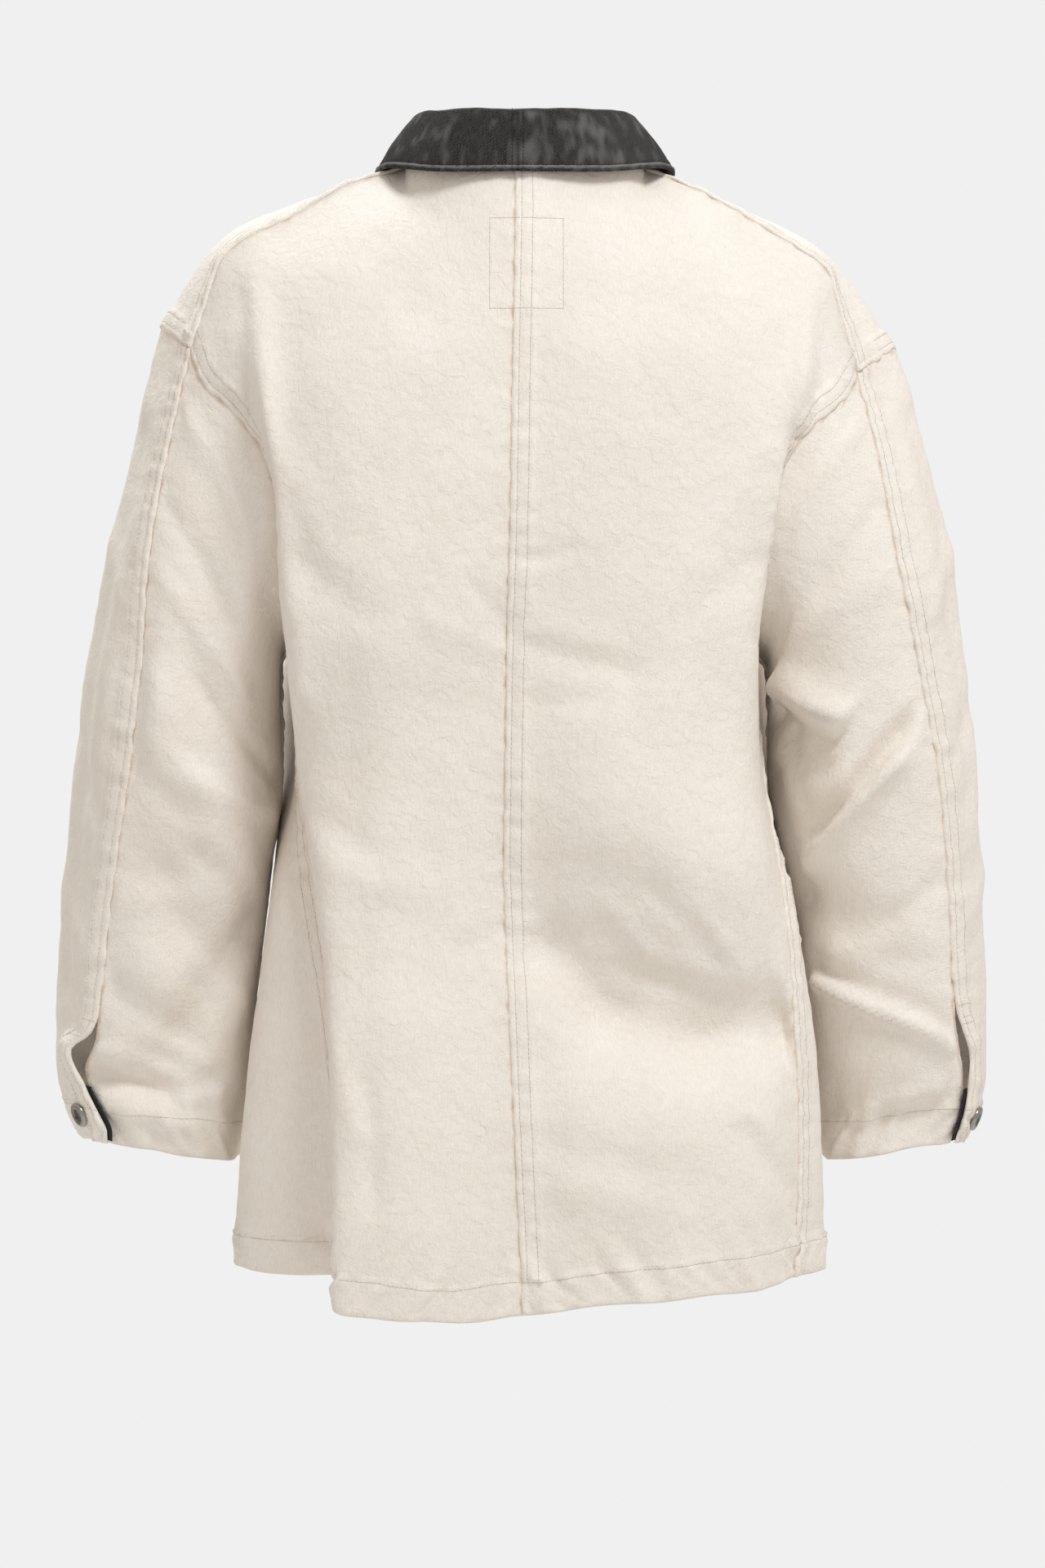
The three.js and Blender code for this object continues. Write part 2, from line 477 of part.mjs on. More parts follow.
// The lapping edge of the vent moves round towards the back piece and stands out from it.
function openVent(side, p, outward, u, f) {
  const vent = tableAt(VENT[side], "f", f);
  const share = 1 - smooth(u / FADE.vent);
  const towardsBack = vec(-sign[side] * outward.y, sign[side] * outward.x, 0);
  p.addScaledVector(outward, vent.out * share);
  p.addScaledVector(towardsBack, vent.over * share);
}

// A point of the collar: v runs up its stand, over the fold and down to the lower edge.
function collarPoint(side, u, v) {
  const behind = u <= COLLAR_SIDE;
  const share = behind ? u / COLLAR_SIDE : (1 - u) / (1 - COLLAR_SIDE);
  const seam = neck(side, behind ? centreBack(1) : centreFront(1), share);
  const shift = centreBack(1).x * (1 - smooth(u / COLLAR_SIDE));
  const fold = through(lineKnots(side, COLLAR_FOLD, "u"), u);
  const edge = through(lineKnots(side, COLLAR_EDGE, "u"), u);
  fold.x += shift;
  edge.x += shift;
  const out = edge.clone().sub(seam).setZ(0).normalize();
  const base = seam.clone().add(vec(0, 0, COLLAR_CLOTH / 2 + CLOTH / 2 + 2 * SEAM_GAP));
  const knots = [
    { at: 0, p: base },
    { at: 0.2, p: base.clone().lerp(fold, 0.5).addScaledVector(out, -COLLAR_STAND_IN) },
    { at: 0.4, p: fold.clone().addScaledVector(out, -COLLAR_ROLL).add(vec(0, 0, -COLLAR_ROLL)) },
    { at: 0.5, p: fold },
    { at: 0.6, p: fold.clone().addScaledVector(out, COLLAR_ROLL).add(vec(0, 0, -COLLAR_ROLL)) },
    { at: 0.8, p: fold.clone().lerp(edge, 0.55).addScaledVector(out, COLLAR_FALL_OUT) },
    { at: 1, p: edge },
  ];
  const p = through(knots, v);
  p.x += sign[side] * COLLAR_FRONT_GAP * smooth((u - 1 + COLLAR_FRONT_SHARE) / COLLAR_FRONT_SHARE);
  return p;
}

const steps = (from, to, count) => Array.from({ length: count + 1 }, (_, i) => mix(from, to, i / count));

// The grid of each cloth piece: columns and rows of points, seen from outside its columns run
// to the right and its rows run up.
function grid(columns, rows, point) {
  return rows.map((row) => columns.map((column) => point(column, row)));
}

const acrossTop = [...steps(0, NECK_END, STEPS.neck), ...steps(NECK_END, 1, STEPS.shoulder).slice(1)];
const upSide = steps(0, UNDERARM, STEPS.side);
const downSleeve = steps(0, 1, STEPS.sleeve).reverse();

function clothGrids(side) {
  const backRows = [...upSide, ...steps(UNDERARM, 1, STEPS.armBack).slice(1)];
  const frontRows = [...upSide, ...steps(UNDERARM, 1, STEPS.armFront).slice(1)];
  const frontColumns = [-PLACKET, ...acrossTop];
  const grids = {
    ["back_" + side]: grid(acrossTop, backRows, (s, r) => backPoint(side, s, r)),
    ["front_" + side]: grid(frontColumns, frontRows, (s, r) => frontPoint(side, s, r)),
    ["sleeve_back_" + side]: grid(steps(0, 1, STEPS.armBack), downSleeve, (u, f) => sleevePoint(side, true, u, f)),
    ["sleeve_front_" + side]: grid(steps(0, 1, STEPS.armFront), downSleeve, (u, f) => sleevePoint(side, false, u, f)),
  };
  // Half of them are read the other way round, so that every grid faces outwards.
  const turned = side === "left" ? ["back_left", "sleeve_front_left"] : ["front_right", "sleeve_back_right"];
  for (const name of turned) grids[name].forEach((row) => row.reverse());
  return grids;
}

function collarGrid(side) {
  const columns = [...steps(0, COLLAR_SIDE, STEPS.neck), ...steps(COLLAR_SIDE, 1, STEPS.neck).slice(1)];
  const points = grid(columns, steps(0, 1, STEPS.collar), (u, v) => collarPoint(side, u, v));
  if (side === "right") points.forEach((row) => row.reverse());
  return points;
}

const key = (p) => [p.x, p.y, p.z].map((n) => Math.round(n * 1000)).join(",");

// Normals at the points of several groups of grids. Where two groups meet, as a sleeve and the
// body do at the armhole, the normal halves the angle between them and the wall is drawn out.
function sharedNormals(groups) {
  const sums = new Map();
  groups.forEach((grids, group) => {
    for (const points of grids) {
      for (let j = 0; j + 1 < points.length; j += 1) {
        for (let i = 0; i + 1 < points[j].length; i += 1) {
          const corners = [points[j][i], points[j][i + 1], points[j + 1][i + 1], points[j + 1][i]];
          const face = corners[2].clone().sub(corners[0]).cross(corners[3].clone().sub(corners[1])).normalize();
          for (const corner of corners) {
            const name = key(corner);
            if (!sums.has(name)) sums.set(name, new Map());
            if (!sums.get(name).has(group)) sums.get(name).set(group, vec(0, 0, 0));
            sums.get(name).get(group).add(face);
          }
        }
      }
    }
  });
  return groups.map((grids, group) => (p) => {
    const sides = sums.get(key(p));
    const own = sides.get(group).clone().normalize();
    const normal = vec(0, 0, 0);
    for (const sum of sides.values()) normal.add(sum.clone().normalize());
    normal.normalize();
    return { own, normal, stretch: 1 / Math.max(CREASE_LIMIT, normal.dot(own)), creased: sides.size > 1 };
  });
}

// The closed wall round a grid: its two faces and its rim, drawn back from the seams.
function wall(points, thickness, normalAt) {
  const rows = points.length;
  const columns = points[0].length;
  const rim = [];
  for (let i = 0; i < columns; i += 1) rim.push([0, i]);
  for (let j = 1; j < rows; j += 1) rim.push([j, columns - 1]);
  for (let i = columns - 2; i >= 0; i -= 1) rim.push([rows - 1, i]);
  for (let j = rows - 2; j > 0; j -= 1) rim.push([j, 0]);
  const at = ([j, i]) => points[j][i];
  const inset = new Map();
  rim.forEach((place, k) => {
    const p = at(place);
    const { own, stretch, creased } = normalAt(p);
    // An edge that lies in a crease is drawn back further, so that the gap across it stays.
    const back = (a, b, other) => {
      const inward = own.clone().cross(b.clone().sub(a)).normalize();
      return { inward, far: creased && normalAt(other).creased ? stretch : 1 };
    };
    const last = at(rim[(k + rim.length - 1) % rim.length]);
    const next = at(rim[(k + 1) % rim.length]);
    const before = back(last, p, last);
    const after = back(p, next, next);
    const both = before.inward.clone().multiplyScalar(before.far).addScaledVector(after.inward, after.far);
    const corner = Math.max(CORNER_LIMIT, 1 + before.inward.dot(after.inward));
    inset.set(place.join(), both.multiplyScalar(SEAM_GAP / 2 / corner));
  });
  const positions = [];
  for (const faceSide of [0.5, -0.5]) {
    for (let j = 0; j < rows; j += 1) {
      for (let i = 0; i < columns; i += 1) {
        const { normal, stretch } = normalAt(points[j][i]);
        const p = points[j][i].clone().addScaledVector(normal, thickness * faceSide * stretch);
        if (inset.has([j, i].join())) p.add(inset.get([j, i].join()));
        positions.push(p.x, p.y, p.z);
      }
    }
  }
  const index = [];
  const outer = (j, i) => j * columns + i;
  const inner = (j, i) => rows * columns + j * columns + i;
  for (let j = 0; j + 1 < rows; j += 1) {
    for (let i = 0; i + 1 < columns; i += 1) {
      const quad = [[j, i], [j, i + 1], [j + 1, i + 1], [j + 1, i]];
      // Each quad is cut along its shorter diagonal, the same one on both faces.
      const cut = at(quad[0]).distanceTo(at(quad[2])) < at(quad[1]).distanceTo(at(quad[3])) ? 0 : 1;
      const [a, b, c, d] = [0, 1, 2, 3].map((k) => quad[(k + cut) % 4]);
      index.push(outer(...a), outer(...b), outer(...c), outer(...a), outer(...c), outer(...d));
      index.push(inner(...a), inner(...c), inner(...b), inner(...a), inner(...d), inner(...c));
    }
  }
  rim.forEach(([j, i], k) => {
    const next = rim[(k + 1) % rim.length];
    const [a, b, c, d] = [outer(j, i), inner(j, i), inner(...next), outer(...next)];
    // Both pieces at a seam cut its narrow faces along the same diagonal.
    if (key(at([j, i])) < key(at(next))) index.push(a, b, c, a, c, d);
    else index.push(a, b, d, b, c, d);
  });
  const geometry = new THREE.BufferGeometry();
  geometry.setAttribute("position", new THREE.Float32BufferAttribute(positions, 3));
  geometry.setIndex(index);
  geometry.computeVertexNormals();
  return geometry;
}

const twill = () => new THREE.MeshStandardMaterial({ color: COLOURS.ecru, roughness: 0.92, metalness: 0 });
const darkTwill = () => new THREE.MeshStandardMaterial({ color: COLOURS.dark, roughness: 0.95, metalness: 0 });
const darkMetal = () => new THREE.MeshStandardMaterial({ color: COLOURS.metal, roughness: 0.42, metalness: 0.9 });

const jacket = new THREE.Group();

function add(name, geometry, material) {
  const mesh = new THREE.Mesh(geometry, material);
  mesh.name = name;
  jacket.add(mesh);
  return mesh;
}

// The eight panels of the shell share their normals, so their walls meet edge to edge.
const shell = { ...clothGrids("left"), ...clothGrids("right") };
const isSleeve = ([name]) => name.startsWith("sleeve");
const sleeves = Object.entries(shell).filter(isSleeve);
const body = Object.entries(shell).filter((entry) => !isSleeve(entry));
const groups = [body, sleeves];
const groupNormals = sharedNormals(groups.map((group) => group.map(([, points]) => points)));
groups.forEach((group, k) => {
  for (const [name, points] of group) add(name, wall(points, CLOTH, groupNormals[k]), twill());
});

// The collar is two layers, sewn at the neck and joined at the centre back.
const collars = { collar_left: collarGrid("left"), collar_right: collarGrid("right") };
const [collarNormal] = sharedNormals([Object.values(collars)]);
for (const [name, points] of Object.entries(collars)) add(name, wall(points, COLLAR_CLOTH, collarNormal), darkTwill());

const NEAR = 0.004; // a small step along a surface

// The outward direction of a surface given by two numbers, away from a point inside it.
function outwardAt(surface, a, b, inside) {
  const p = surface(a, b);
  const normal = surface(a + NEAR, b).sub(p).cross(surface(a, b - NEAR).sub(p)).normalize();
  return normal.dot(p.clone().sub(inside)) < 0 ? normal.negate() : normal;
}

// A round metal button with a sunk middle, sewn flat on the cloth.
function buttonShape() {
  const { radius, thick, hole, sides } = BUTTON;
  const { chamfer, top, inner, sink, shoulder, slope } = BUTTON_RIM;
  const profile = [
    [0, 0],
    [radius - chamfer, 0],
    [radius, thick * shoulder],
    [radius - top, thick],
    [hole + inner, thick * slope],
    [hole, thick * sink],
    [0, thick * sink],
  ];
  return new THREE.LatheGeometry(profile.map(([x, y]) => new THREE.Vector2(x, y)), sides);
}

function addButton(name, surface, a, b, inside) {
  const outward = outwardAt(surface, a, b, inside);
  const mesh = add(name, buttonShape(), darkMetal());
  mesh.position.copy(surface(a, b)).addScaledVector(outward, CLOTH / 2 + BUTTON.seat);
  mesh.quaternion.setFromUnitVectors(vec(0, 1, 0), outward);
}

// Five buttons close the front, on the left front over the centre line.
FRONT_BUTTONS.forEach((r, i) => {
  addButton("button_front_" + (i + 1), (s, row) => frontPoint("left", s, row), 0, r, vec(0, 0, centreFront(r).z));
});

// The cuff vents: a button on each lapping edge, and the dark facing that shows behind it.
for (const side of ["left", "right"]) {
  const lap = (u, f) => sleevePoint(side, false, u, f);
  const inside = vec(sign[side] * CUFF_MIDDLE, 0, lap(0, 1).z);
  addButton("button_cuff_" + side, lap, CUFF_BUTTON.u, CUFF_BUTTON.f, inside);
  const drop = CLOTH / 2 + 2 * SEAM_GAP + FACING.thick / 2;
  // The facing follows the flat faces of the lap, between its columns and rows.
  const onLap = (across, f) => {
    const share = (across / CUFF_WIDTH) * STEPS.armFront;
    return lap(0, f).lerp(lap(1 / STEPS.armFront, f), share);
  };
  const strip = (across, f) => onLap(across, f).addScaledVector(outwardAt(onLap, across, f, inside), -drop);
  const lapRow = 1 / STEPS.sleeve;
  const top = grid(steps(-FACING.proud, FACING.wide, 2), [1 - lapRow, 1 - 2 * lapRow], strip);
  const points = [...grid(steps(-FACING.proud, FACING.wide, 2), [1 - FACING.hem], strip), top[0]];
  points.push(top[0].map((p, k) => p.clone().lerp(top[1][k], FACING.reach)));
  if (side === "left") points.forEach((row) => row.reverse());
  add("facing_" + side, wall(points, FACING.thick, sharedNormals([[points]])[0]), darkTwill());
}

export default jacket;
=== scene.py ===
import math

import bmesh
import bpy
import numpy as np
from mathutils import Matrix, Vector, noise


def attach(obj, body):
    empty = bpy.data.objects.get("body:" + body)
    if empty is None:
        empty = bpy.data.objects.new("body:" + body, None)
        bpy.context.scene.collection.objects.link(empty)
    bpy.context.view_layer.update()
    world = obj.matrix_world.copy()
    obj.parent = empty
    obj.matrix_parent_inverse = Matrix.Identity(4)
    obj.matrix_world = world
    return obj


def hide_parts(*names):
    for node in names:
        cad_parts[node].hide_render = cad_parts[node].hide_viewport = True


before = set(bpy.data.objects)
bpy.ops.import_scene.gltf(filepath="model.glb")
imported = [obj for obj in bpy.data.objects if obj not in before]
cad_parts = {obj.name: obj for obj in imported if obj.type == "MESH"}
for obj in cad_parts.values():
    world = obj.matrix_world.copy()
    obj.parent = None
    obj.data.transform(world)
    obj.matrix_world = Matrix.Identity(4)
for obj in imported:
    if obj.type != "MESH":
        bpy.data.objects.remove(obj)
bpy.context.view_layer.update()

# THE BACK: two halves of heavy ecru cotton twill, cut from hem to neck and joined down the
# middle by a felled seam. Each is woven cloth 1.8 mm thick, washed soft, and it hangs from the
# shoulders in a few broad folds. Tables are in millimetres: out is the distance from the middle.

MM = 0.001
SIGN = {"left": 1, "right": -1}
CLOTH = 1.8
CLOTH_STEP = 3.6
UNDERARM = 0.58
NECK_END = 0.36
NECK_FALL = 2.2
CORNER_BLUR = 0.06
BLUR_STEPS = (-1, -0.5, 0, 0.5, 1)


def table(names, *rows):
    return dict(zip(names.split(), np.array(rows, float).T))


CENTRE_BACK = table(
    "r out y z",
    (0, 0, 150, -733), (0.12, 4, 140, -645), (0.25, 8, 131, -560), (0.38, 12, 123, -465),
    (0.48, 11, 119, -395), (0.58, 10, 121, -310), (0.68, 8, 121, -240), (0.78, 7, 116, -172),
    (0.87, 6, 106, -110), (0.94, 5, 91, -53), (1, 4.7, 70, -2),
)
ROW_STOPS = np.array([0, 0.36, 0.62, 0.84, 1])
ROW_LIFT = np.array([0, 1, 0.9, 0.55, 0])
ROW_NAMES = "r lift drop inner_x inner_y middle_x middle_y outer_x outer_y"
YOKE_ROWS = ((0.87, 28, 0, 74, 103, 130, 98, 168, 88), (0.94, 40, 0, 77, 74, 138, 76, 178, 70))
BACK_ROWS = {
    "left": table(
        ROW_NAMES,
        (0, 0, -12, 50, 152, 92, 153, 120, 146), (0.12, 0, -9, 52, 143, 93, 146, 120, 140),
        (0.25, 0, -5, 54, 135, 95, 138, 122, 131), (0.38, 0, 0, 57, 127, 99, 127, 131, 112),
        (0.48, 0, 0, 59, 123, 104, 120, 142, 96), (0.58, 6, 0, 62, 124, 109, 121, 151, 93),
        (0.68, 20, 0, 66, 122, 115, 116, 155, 93), (0.78, 22, 0, 70, 116, 122, 109, 158, 96),
        *YOKE_ROWS,
    ),
    "right": table(
        ROW_NAMES,
        (0, 0, 0, 56, 150, 104, 144, 148, 120), (0.12, 0, 0, 56, 140, 104, 134, 149, 114),
        (0.25, 0, 0, 57, 131, 104, 125, 149, 106), (0.38, 0, 0, 58, 124, 104, 118, 146, 96),
        (0.48, 0, 0, 60, 122, 104, 116, 144, 88), (0.58, 6, 0, 62, 124, 108, 119, 147, 90),
        (0.68, 20, 0, 66, 122, 113, 115, 152, 93), (0.78, 22, 0, 70, 116, 122, 109, 160, 96),
        *YOKE_ROWS,
    ),
}
SIDE_SEAM = {
    "left": table(
        "r out y z",
        (0, 110, 110, -714), (0.12, 112, 107, -638), (0.25, 119, 99, -556), (0.38, 135, 76, -466),
        (0.48, 146, 48, -392), (0.58, 152, 8, -310),
    ),
    "right": table(
        "r out y z",
        (0, 172, 86, -717), (0.12, 176, 82, -640), (0.25, 174, 76, -558), (0.38, 166, 62, -466),
        (0.48, 155, 34, -393), (0.58, 150, 6, -315),
    ),
}
ARM_BACK = {
    "left": table(
        "r out y z",
        (0.58, 152, 8, -310), (0.66, 149, 50, -290), (0.75, 153, 78, -240), (0.86, 171, 80, -182),
        (0.91, 188, 72, -160), (0.955, 206, 60, -143), (1, 217, 46, -119),
    ),
    "right": table(
        "r out y z",
        (0.58, 150, 6, -315), (0.66, 148, 50, -295), (0.75, 152, 78, -245), (0.86, 170, 80, -188),
        (0.91, 187, 73, -168), (0.955, 205, 60, -153), (1, 216, 46, -134),
    ),
}
SHOULDER_SEAM = {
    "left": table(
        "t out y z",
        (0, 78, 12, 3), (0.19, 114, 22, -8), (0.46, 160, 30, -34), (0.59, 184, 34, -46),
        (0.69, 198, 38, -60), (0.81, 206, 42, -83), (1, 217, 46, -119),
    ),
    "right": table(
        "t out y z",
        (0, 78, 12, 3), (0.19, 110, 22, -11), (0.46, 156, 30, -38), (0.58, 180, 34, -53),
        (0.67, 197, 38, -67), (0.79, 204, 41, -92), (1, 216, 46, -134),
    ),
}
# Folds seen from behind: soft ridges (plus) and troughs (minus) between two places.
FOLD_NAMES = "from_x from_z to_x to_z width height"
BACK_FOLDS = table(
    FOLD_NAMES,
    (176, -70, 150, -345, 13, 9), (196, -90, 168, -300, 12, -8), (-192, -80, -158, -320, 13, 10),
    (-205, -100, -176, -290, 12, -8), (-50, -400, -120, -445, 60, 13),
    (-25, -490, -165, -545, 38, -17), (-40, -620, -150, -600, 42, 9), (120, -150, 100, -300, 55, 7),
    (80, -560, 70, -680, 45, 8), (30, -330, 110, -400, 40, -6),
)
# Smaller creases of the back: the deep hollow under the bulge on the right, drags off the
# centre seam, and the crumples above the hem.
BACK_CREASES = table(
    FOLD_NAMES,
    (-60, -440, -150, -470, 34, 5), (-30, -478, -165, -525, 22, 8), (-14, -510, -54, -548, 18, -8),
    (-54, -550, -112, -568, 26, -14), (-112, -568, -172, -560, 26, -13),
    (-40, -665, -160, -655, 45, 5), (190, -110, 168, -295, 13, 5.5), (-60, -516, -118, -540, 7, -2.2),
    (-76, -506, -136, -530, 6, 1.8), (184, -84, 172, -180, 5, -3), (174, -84, 163, -185, 6, 2.5),
    (-194, -86, -184, -178, 5, -4.5), (-184, -86, -176, -182, 6, 2.5), (-52, -478, -88, -520, 6, 1.6),
    (-78, -468, -122, -512, 7, -1.8), (-110, -480, -140, -524, 6, 1.7), (-40, -505, -74, -516, 6, 1.3),
    (-6, -260, -30, -254, 6, -1.5), (-6, -318, -64, -331, 8, -2.4), (-8, -303, -52, -312, 7, 1.4),
    (-6, -352, -46, -350, 6, -1.7), (32, -278, 12, -303, 7, -1.9), (60, -300, 20, -316, 9, 1.6),
    (42, -505, 16, -497, 10, -2.4), (122, -562, 104, -620, 8, 2.6), (100, -590, 92, -668, 8, -2.2),
    (-146, -610, -176, -648, 6, 3), (-136, -622, -166, -660, 7, -2.4), (-30, -655, -92, -668, 13, 2.2),
    (-20, -630, -70, -640, 12, -2), (150, -200, 120, -262, 12, 2.6), (140, -262, 96, -300, 12, -2.2),
    (-150, -190, -112, -262, 13, 2.4), (-146, -262, -100, -296, 12, -2.2),
    (96, -60, 60, -108, 16, -1.6), (-96, -60, -64, -112, 16, -1.8), (136, -420, 92, -452, 12, -3),
    (120, -452, 60, -470, 14, 2.4),
)


def smooth(t):
    t = np.clip(t, 0, 1)
    return t * t * (3 - 2 * t)


def unit(vectors):
    return vectors / np.linalg.norm(vectors, axis=-1, keepdims=True)


def weights(stops, at, level=False):
    """Each stop's share at every place of a smooth curve through the stops."""
    at = np.asarray(at, float)
    count = len(stops)
    gap = np.diff(stops)
    chord = (np.eye(count)[1:] - np.eye(count)[:-1]) / gap[:, None]
    slope = np.empty((count, count))
    slope[0] = 0 if level else chord[0]
    slope[-1] = chord[-1]
    slope[1:-1] = chord[:-1] * gap[1:, None] + chord[1:] * gap[:-1, None]
    slope[1:-1] /= (gap[:-1] + gap[1:])[:, None]
    k = np.clip(np.searchsorted(stops, at) - 1, 0, count - 2)
    t = ((at - stops[k]) / gap[k])[..., None]
    step = gap[k][..., None]
    start = np.eye(count)[k]
    end = np.eye(count)[k + 1]
    share = (1 + 2 * t) * (1 - t) ** 2 * start + t * t * (3 - 2 * t) * end
    return share + step * t * (1 - t) ** 2 * slope[k] - step * t * t * (1 - t) * slope[k + 1]


def line(knots, name, at, side):
    places = np.column_stack([SIGN[side] * knots["out"], knots["y"], knots["z"]])
    return weights(knots[name], at) @ places


def centre_back(r):
    return line(CENTRE_BACK, "r", r, "left")


def outer_edge(side, arm, r):
    below = line(SIDE_SEAM[side], "r", np.minimum(r, UNDERARM), side)
    above = line(arm[side], "r", np.maximum(r, UNDERARM), side)
    return np.where(np.asarray(r)[..., None] <= UNDERARM, below, above)


def neck(side, centre, share):
    """The neck seam: a quarter oval from a centre line to the end of the shoulder seam."""
    end = line(SHOULDER_SEAM[side], "t", [0.0], side)[0]
    turn = np.asarray(share) * math.pi / 2
    x = centre[0] + (end[0] - centre[0]) * np.sin(turn)
    y = end[1] + (centre[1] - end[1]) * np.cos(turn)
    z = end[2] + (centre[2] - end[2]) * np.cos(turn) ** NECK_FALL
    return np.stack([x, y, z], -1)


def panel(side, rows, centre, arm, s, r):
    """A panel's middle surface at the shares s across (one row of them for each r)."""
    level_rows = np.append(rows["r"], 1)
    middle = centre(level_rows)
    edge = outer_edge(side, arm, level_rows)
    stops = middle[:-1, None] + (edge - middle)[:-1, None] * ROW_STOPS[:, None]
    for k, name in enumerate(("inner", "middle", "outer"), 1):
        stops[:, k, 0] = SIGN[side] * rows[name + "_x"]
        stops[:, k, 1] = rows[name + "_y"]
        stops[:, k, 2] += rows["lift"] * ROW_LIFT[k] + rows["drop"]
    across = np.abs(s)
    free = weights(ROW_STOPS, across)
    level = weights(ROW_STOPS, across, level=True)
    up = weights(level_rows, r)
    points = np.stack([
        np.einsum("rk,rsj,kj->rs", up[:, :-1], w, stops[..., d])
        for d, w in enumerate((free, level, level))
    ], -1)
    blur = CORNER_BLUR * smooth((1 - r) / 0.05)[:, None]
    for step in BLUR_STEPS:
        spot = np.abs(across + step * blur * smooth(across / 0.1) * smooth((1 - across) / 0.1))
        on_neck = neck(side, middle[-1], np.minimum(spot / NECK_END, 1))
        along = np.clip((spot - NECK_END) / (1 - NECK_END), 0, 1)
        on_shoulder = line(SHOULDER_SEAM[side], "t", along, side)
        top = np.where(spot[..., None] <= NECK_END, on_neck, on_shoulder)
        points += up[:, -1, None, None] / len(BLUR_STEPS) * top
    off = outer_edge(side, arm, r) - up @ edge
    return points + off[:, None] * smooth((across - 0.7) / 0.3)[..., None]


def fold_height(folds, x, z):
    height = np.zeros(np.shape(x))
    for x0, z0, x1, z1, width, tall in zip(*folds.values()):
        run = np.array([x1 - x0, z1 - z0])
        along = np.clip(((x - x0) * run[0] + (z - z0) * run[1]) / (run @ run), 0, 1)
        far = np.hypot(x - x0 - along * run[0], z - z0 - along * run[1])
        height += tall * np.exp(-((far / width) ** 2))
    return height


def back_surface(side, s, r):
    points = panel(side, BACK_ROWS[side], centre_back, ARM_BACK, s, r)
    inside = smooth((1 - s) / 0.12) * smooth((1 - r) / 0.1)[:, None]
    folds = fold_height(BACK_FOLDS, points[..., 0], points[..., 2])
    creases = fold_height(BACK_CREASES, points[..., 0], points[..., 2]) * smooth((1 - s) / 0.06)
    points[..., 1] += folds * inside + creases * smooth((1 - r) / 0.05)[:, None]
    return points


def crumple(points, size, seed):
    """Soft irregular swelling of washed cloth, from -1 to 1, about size millimetres across."""
    places = points.reshape(-1, 3) / size + 17.3 * seed
    return np.reshape([noise.noise(p) for p in places.tolist()], points.shape[:-1])


# Heights of the broad, small and fine crumples, and how a hem wanders: height, size and seed.
CRUMPLE_SIZES = (42, 17, 8)
BODY_CRUMPLES = (0.9, 0.45, 0.25)
HEM_WANDER = (2.2, 38, 5)
WANDER_FADE = 45


def crumples(points, heights):
    sizes = enumerate(CRUMPLE_SIZES)
    return sum(heights[k] * crumple(points, size, k + 1) for k, size in sizes)


def hem_wander(points, gap, height, size, seed):
    return height * crumple(points, size, seed) * (1 - smooth(gap / WANDER_FADE))


def ripple(place, length, seed):
    """Uneven waves along a line, about length millimetres apart."""
    phases = np.random.default_rng(seed).uniform(0, 2 * math.pi, 4)
    paces = (0.57, 0.83, 1, 1.39)
    return sum(np.sin(2 * math.pi * f * place / length + p) for f, p in zip(paces, phases)) / 2.4


def from_edge(points, edge):
    """How far every point of a grid lies from one of its edges, and how far along that edge."""
    turned = {
        "first": points,
        "last": points[:, ::-1],
        "bottom": points.transpose(1, 0, 2),
        "top": points[::-1].transpose(1, 0, 2),
    }[edge]
    steps = np.linalg.norm(np.diff(turned, axis=1), axis=-1)
    far = np.concatenate([np.zeros((len(turned), 1)), np.cumsum(steps, axis=1)], axis=1)
    seam = turned[:, 0]
    tangent = np.gradient(seam, axis=0)
    pace = np.linalg.norm(tangent, axis=1)
    run = np.cumsum(pace) - pace[0]
    tangent /= pace[:, None]
    inward = unit(turned[:, 3] - seam)
    cosine = np.sum(inward * tangent, axis=1)[:, None]
    distance = far * np.sqrt(1 - np.minimum(cosine ** 2, 0.8))
    along = run[:, None] + far * cosine
    if edge == "last":
        return distance[:, ::-1], along[:, ::-1]
    if edge == "bottom":
        return distance.T, along.T
    if edge == "top":
        return distance.T[::-1], along.T[::-1]
    return distance, along


# A felled seam: the upper panel's folded edge stands proud of the lower one, and two rows of
# stitches hold it down. Washing has shrunk the thread, so the band puckers between the rows.
FELL_ROWS = (3.0, 9.8)
FELL_BAND = 11.0
FELL_HEIGHT = 1.3
FELL_OVER = 1.3
EDGE_STATIONS = np.array([0, 0.7, 1.5, 2.3, 3.1, 4.2, 5.6, 7.2, 8.8, 9.8, 10.8, 12.2, 14.2])


def stitch_groove(distance, rows):
    return -0.4 * sum(np.exp(-((distance - row) / 0.75) ** 2) for row in rows)


# Waves of a felled seam, each with its height and its length along the seam.
PUCKERS = (0.42, 7.5)
UPPER_DRAGS = (0.5, 14)
LOWER_DRAGS = (0.5, 13)
BAND_WAVES = (0.25, 24)
EDGE_WAVES = 19


def waves(place, size, seed):
    return size[0] * ripple(place, size[1], seed)


def upper_edge(distance, along, seed, on=1.0, wander=0.8):
    """Relief of the panel that laps over a felled seam, and how far its edge passes the seam."""
    band = 1 - smooth((distance - FELL_BAND) / 3)
    between = band * smooth(distance / 2.5)
    pucker = waves(along + 0.5 * distance, PUCKERS, seed) * between
    drag = waves(along, UPPER_DRAGS, seed + 1) * (1 - smooth((distance - 8) / 22))
    lift = FELL_HEIGHT * band * (1 + waves(along, BAND_WAVES, seed + 2))
    rounding = -0.7 * (1 - smooth(distance / 1.2))
    over = (FELL_OVER + wander * ripple(along, EDGE_WAVES, seed + 3)) * (1 - smooth(distance / 4))
    return on * (lift + pucker + drag + rounding + stitch_groove(distance, FELL_ROWS)), on * over


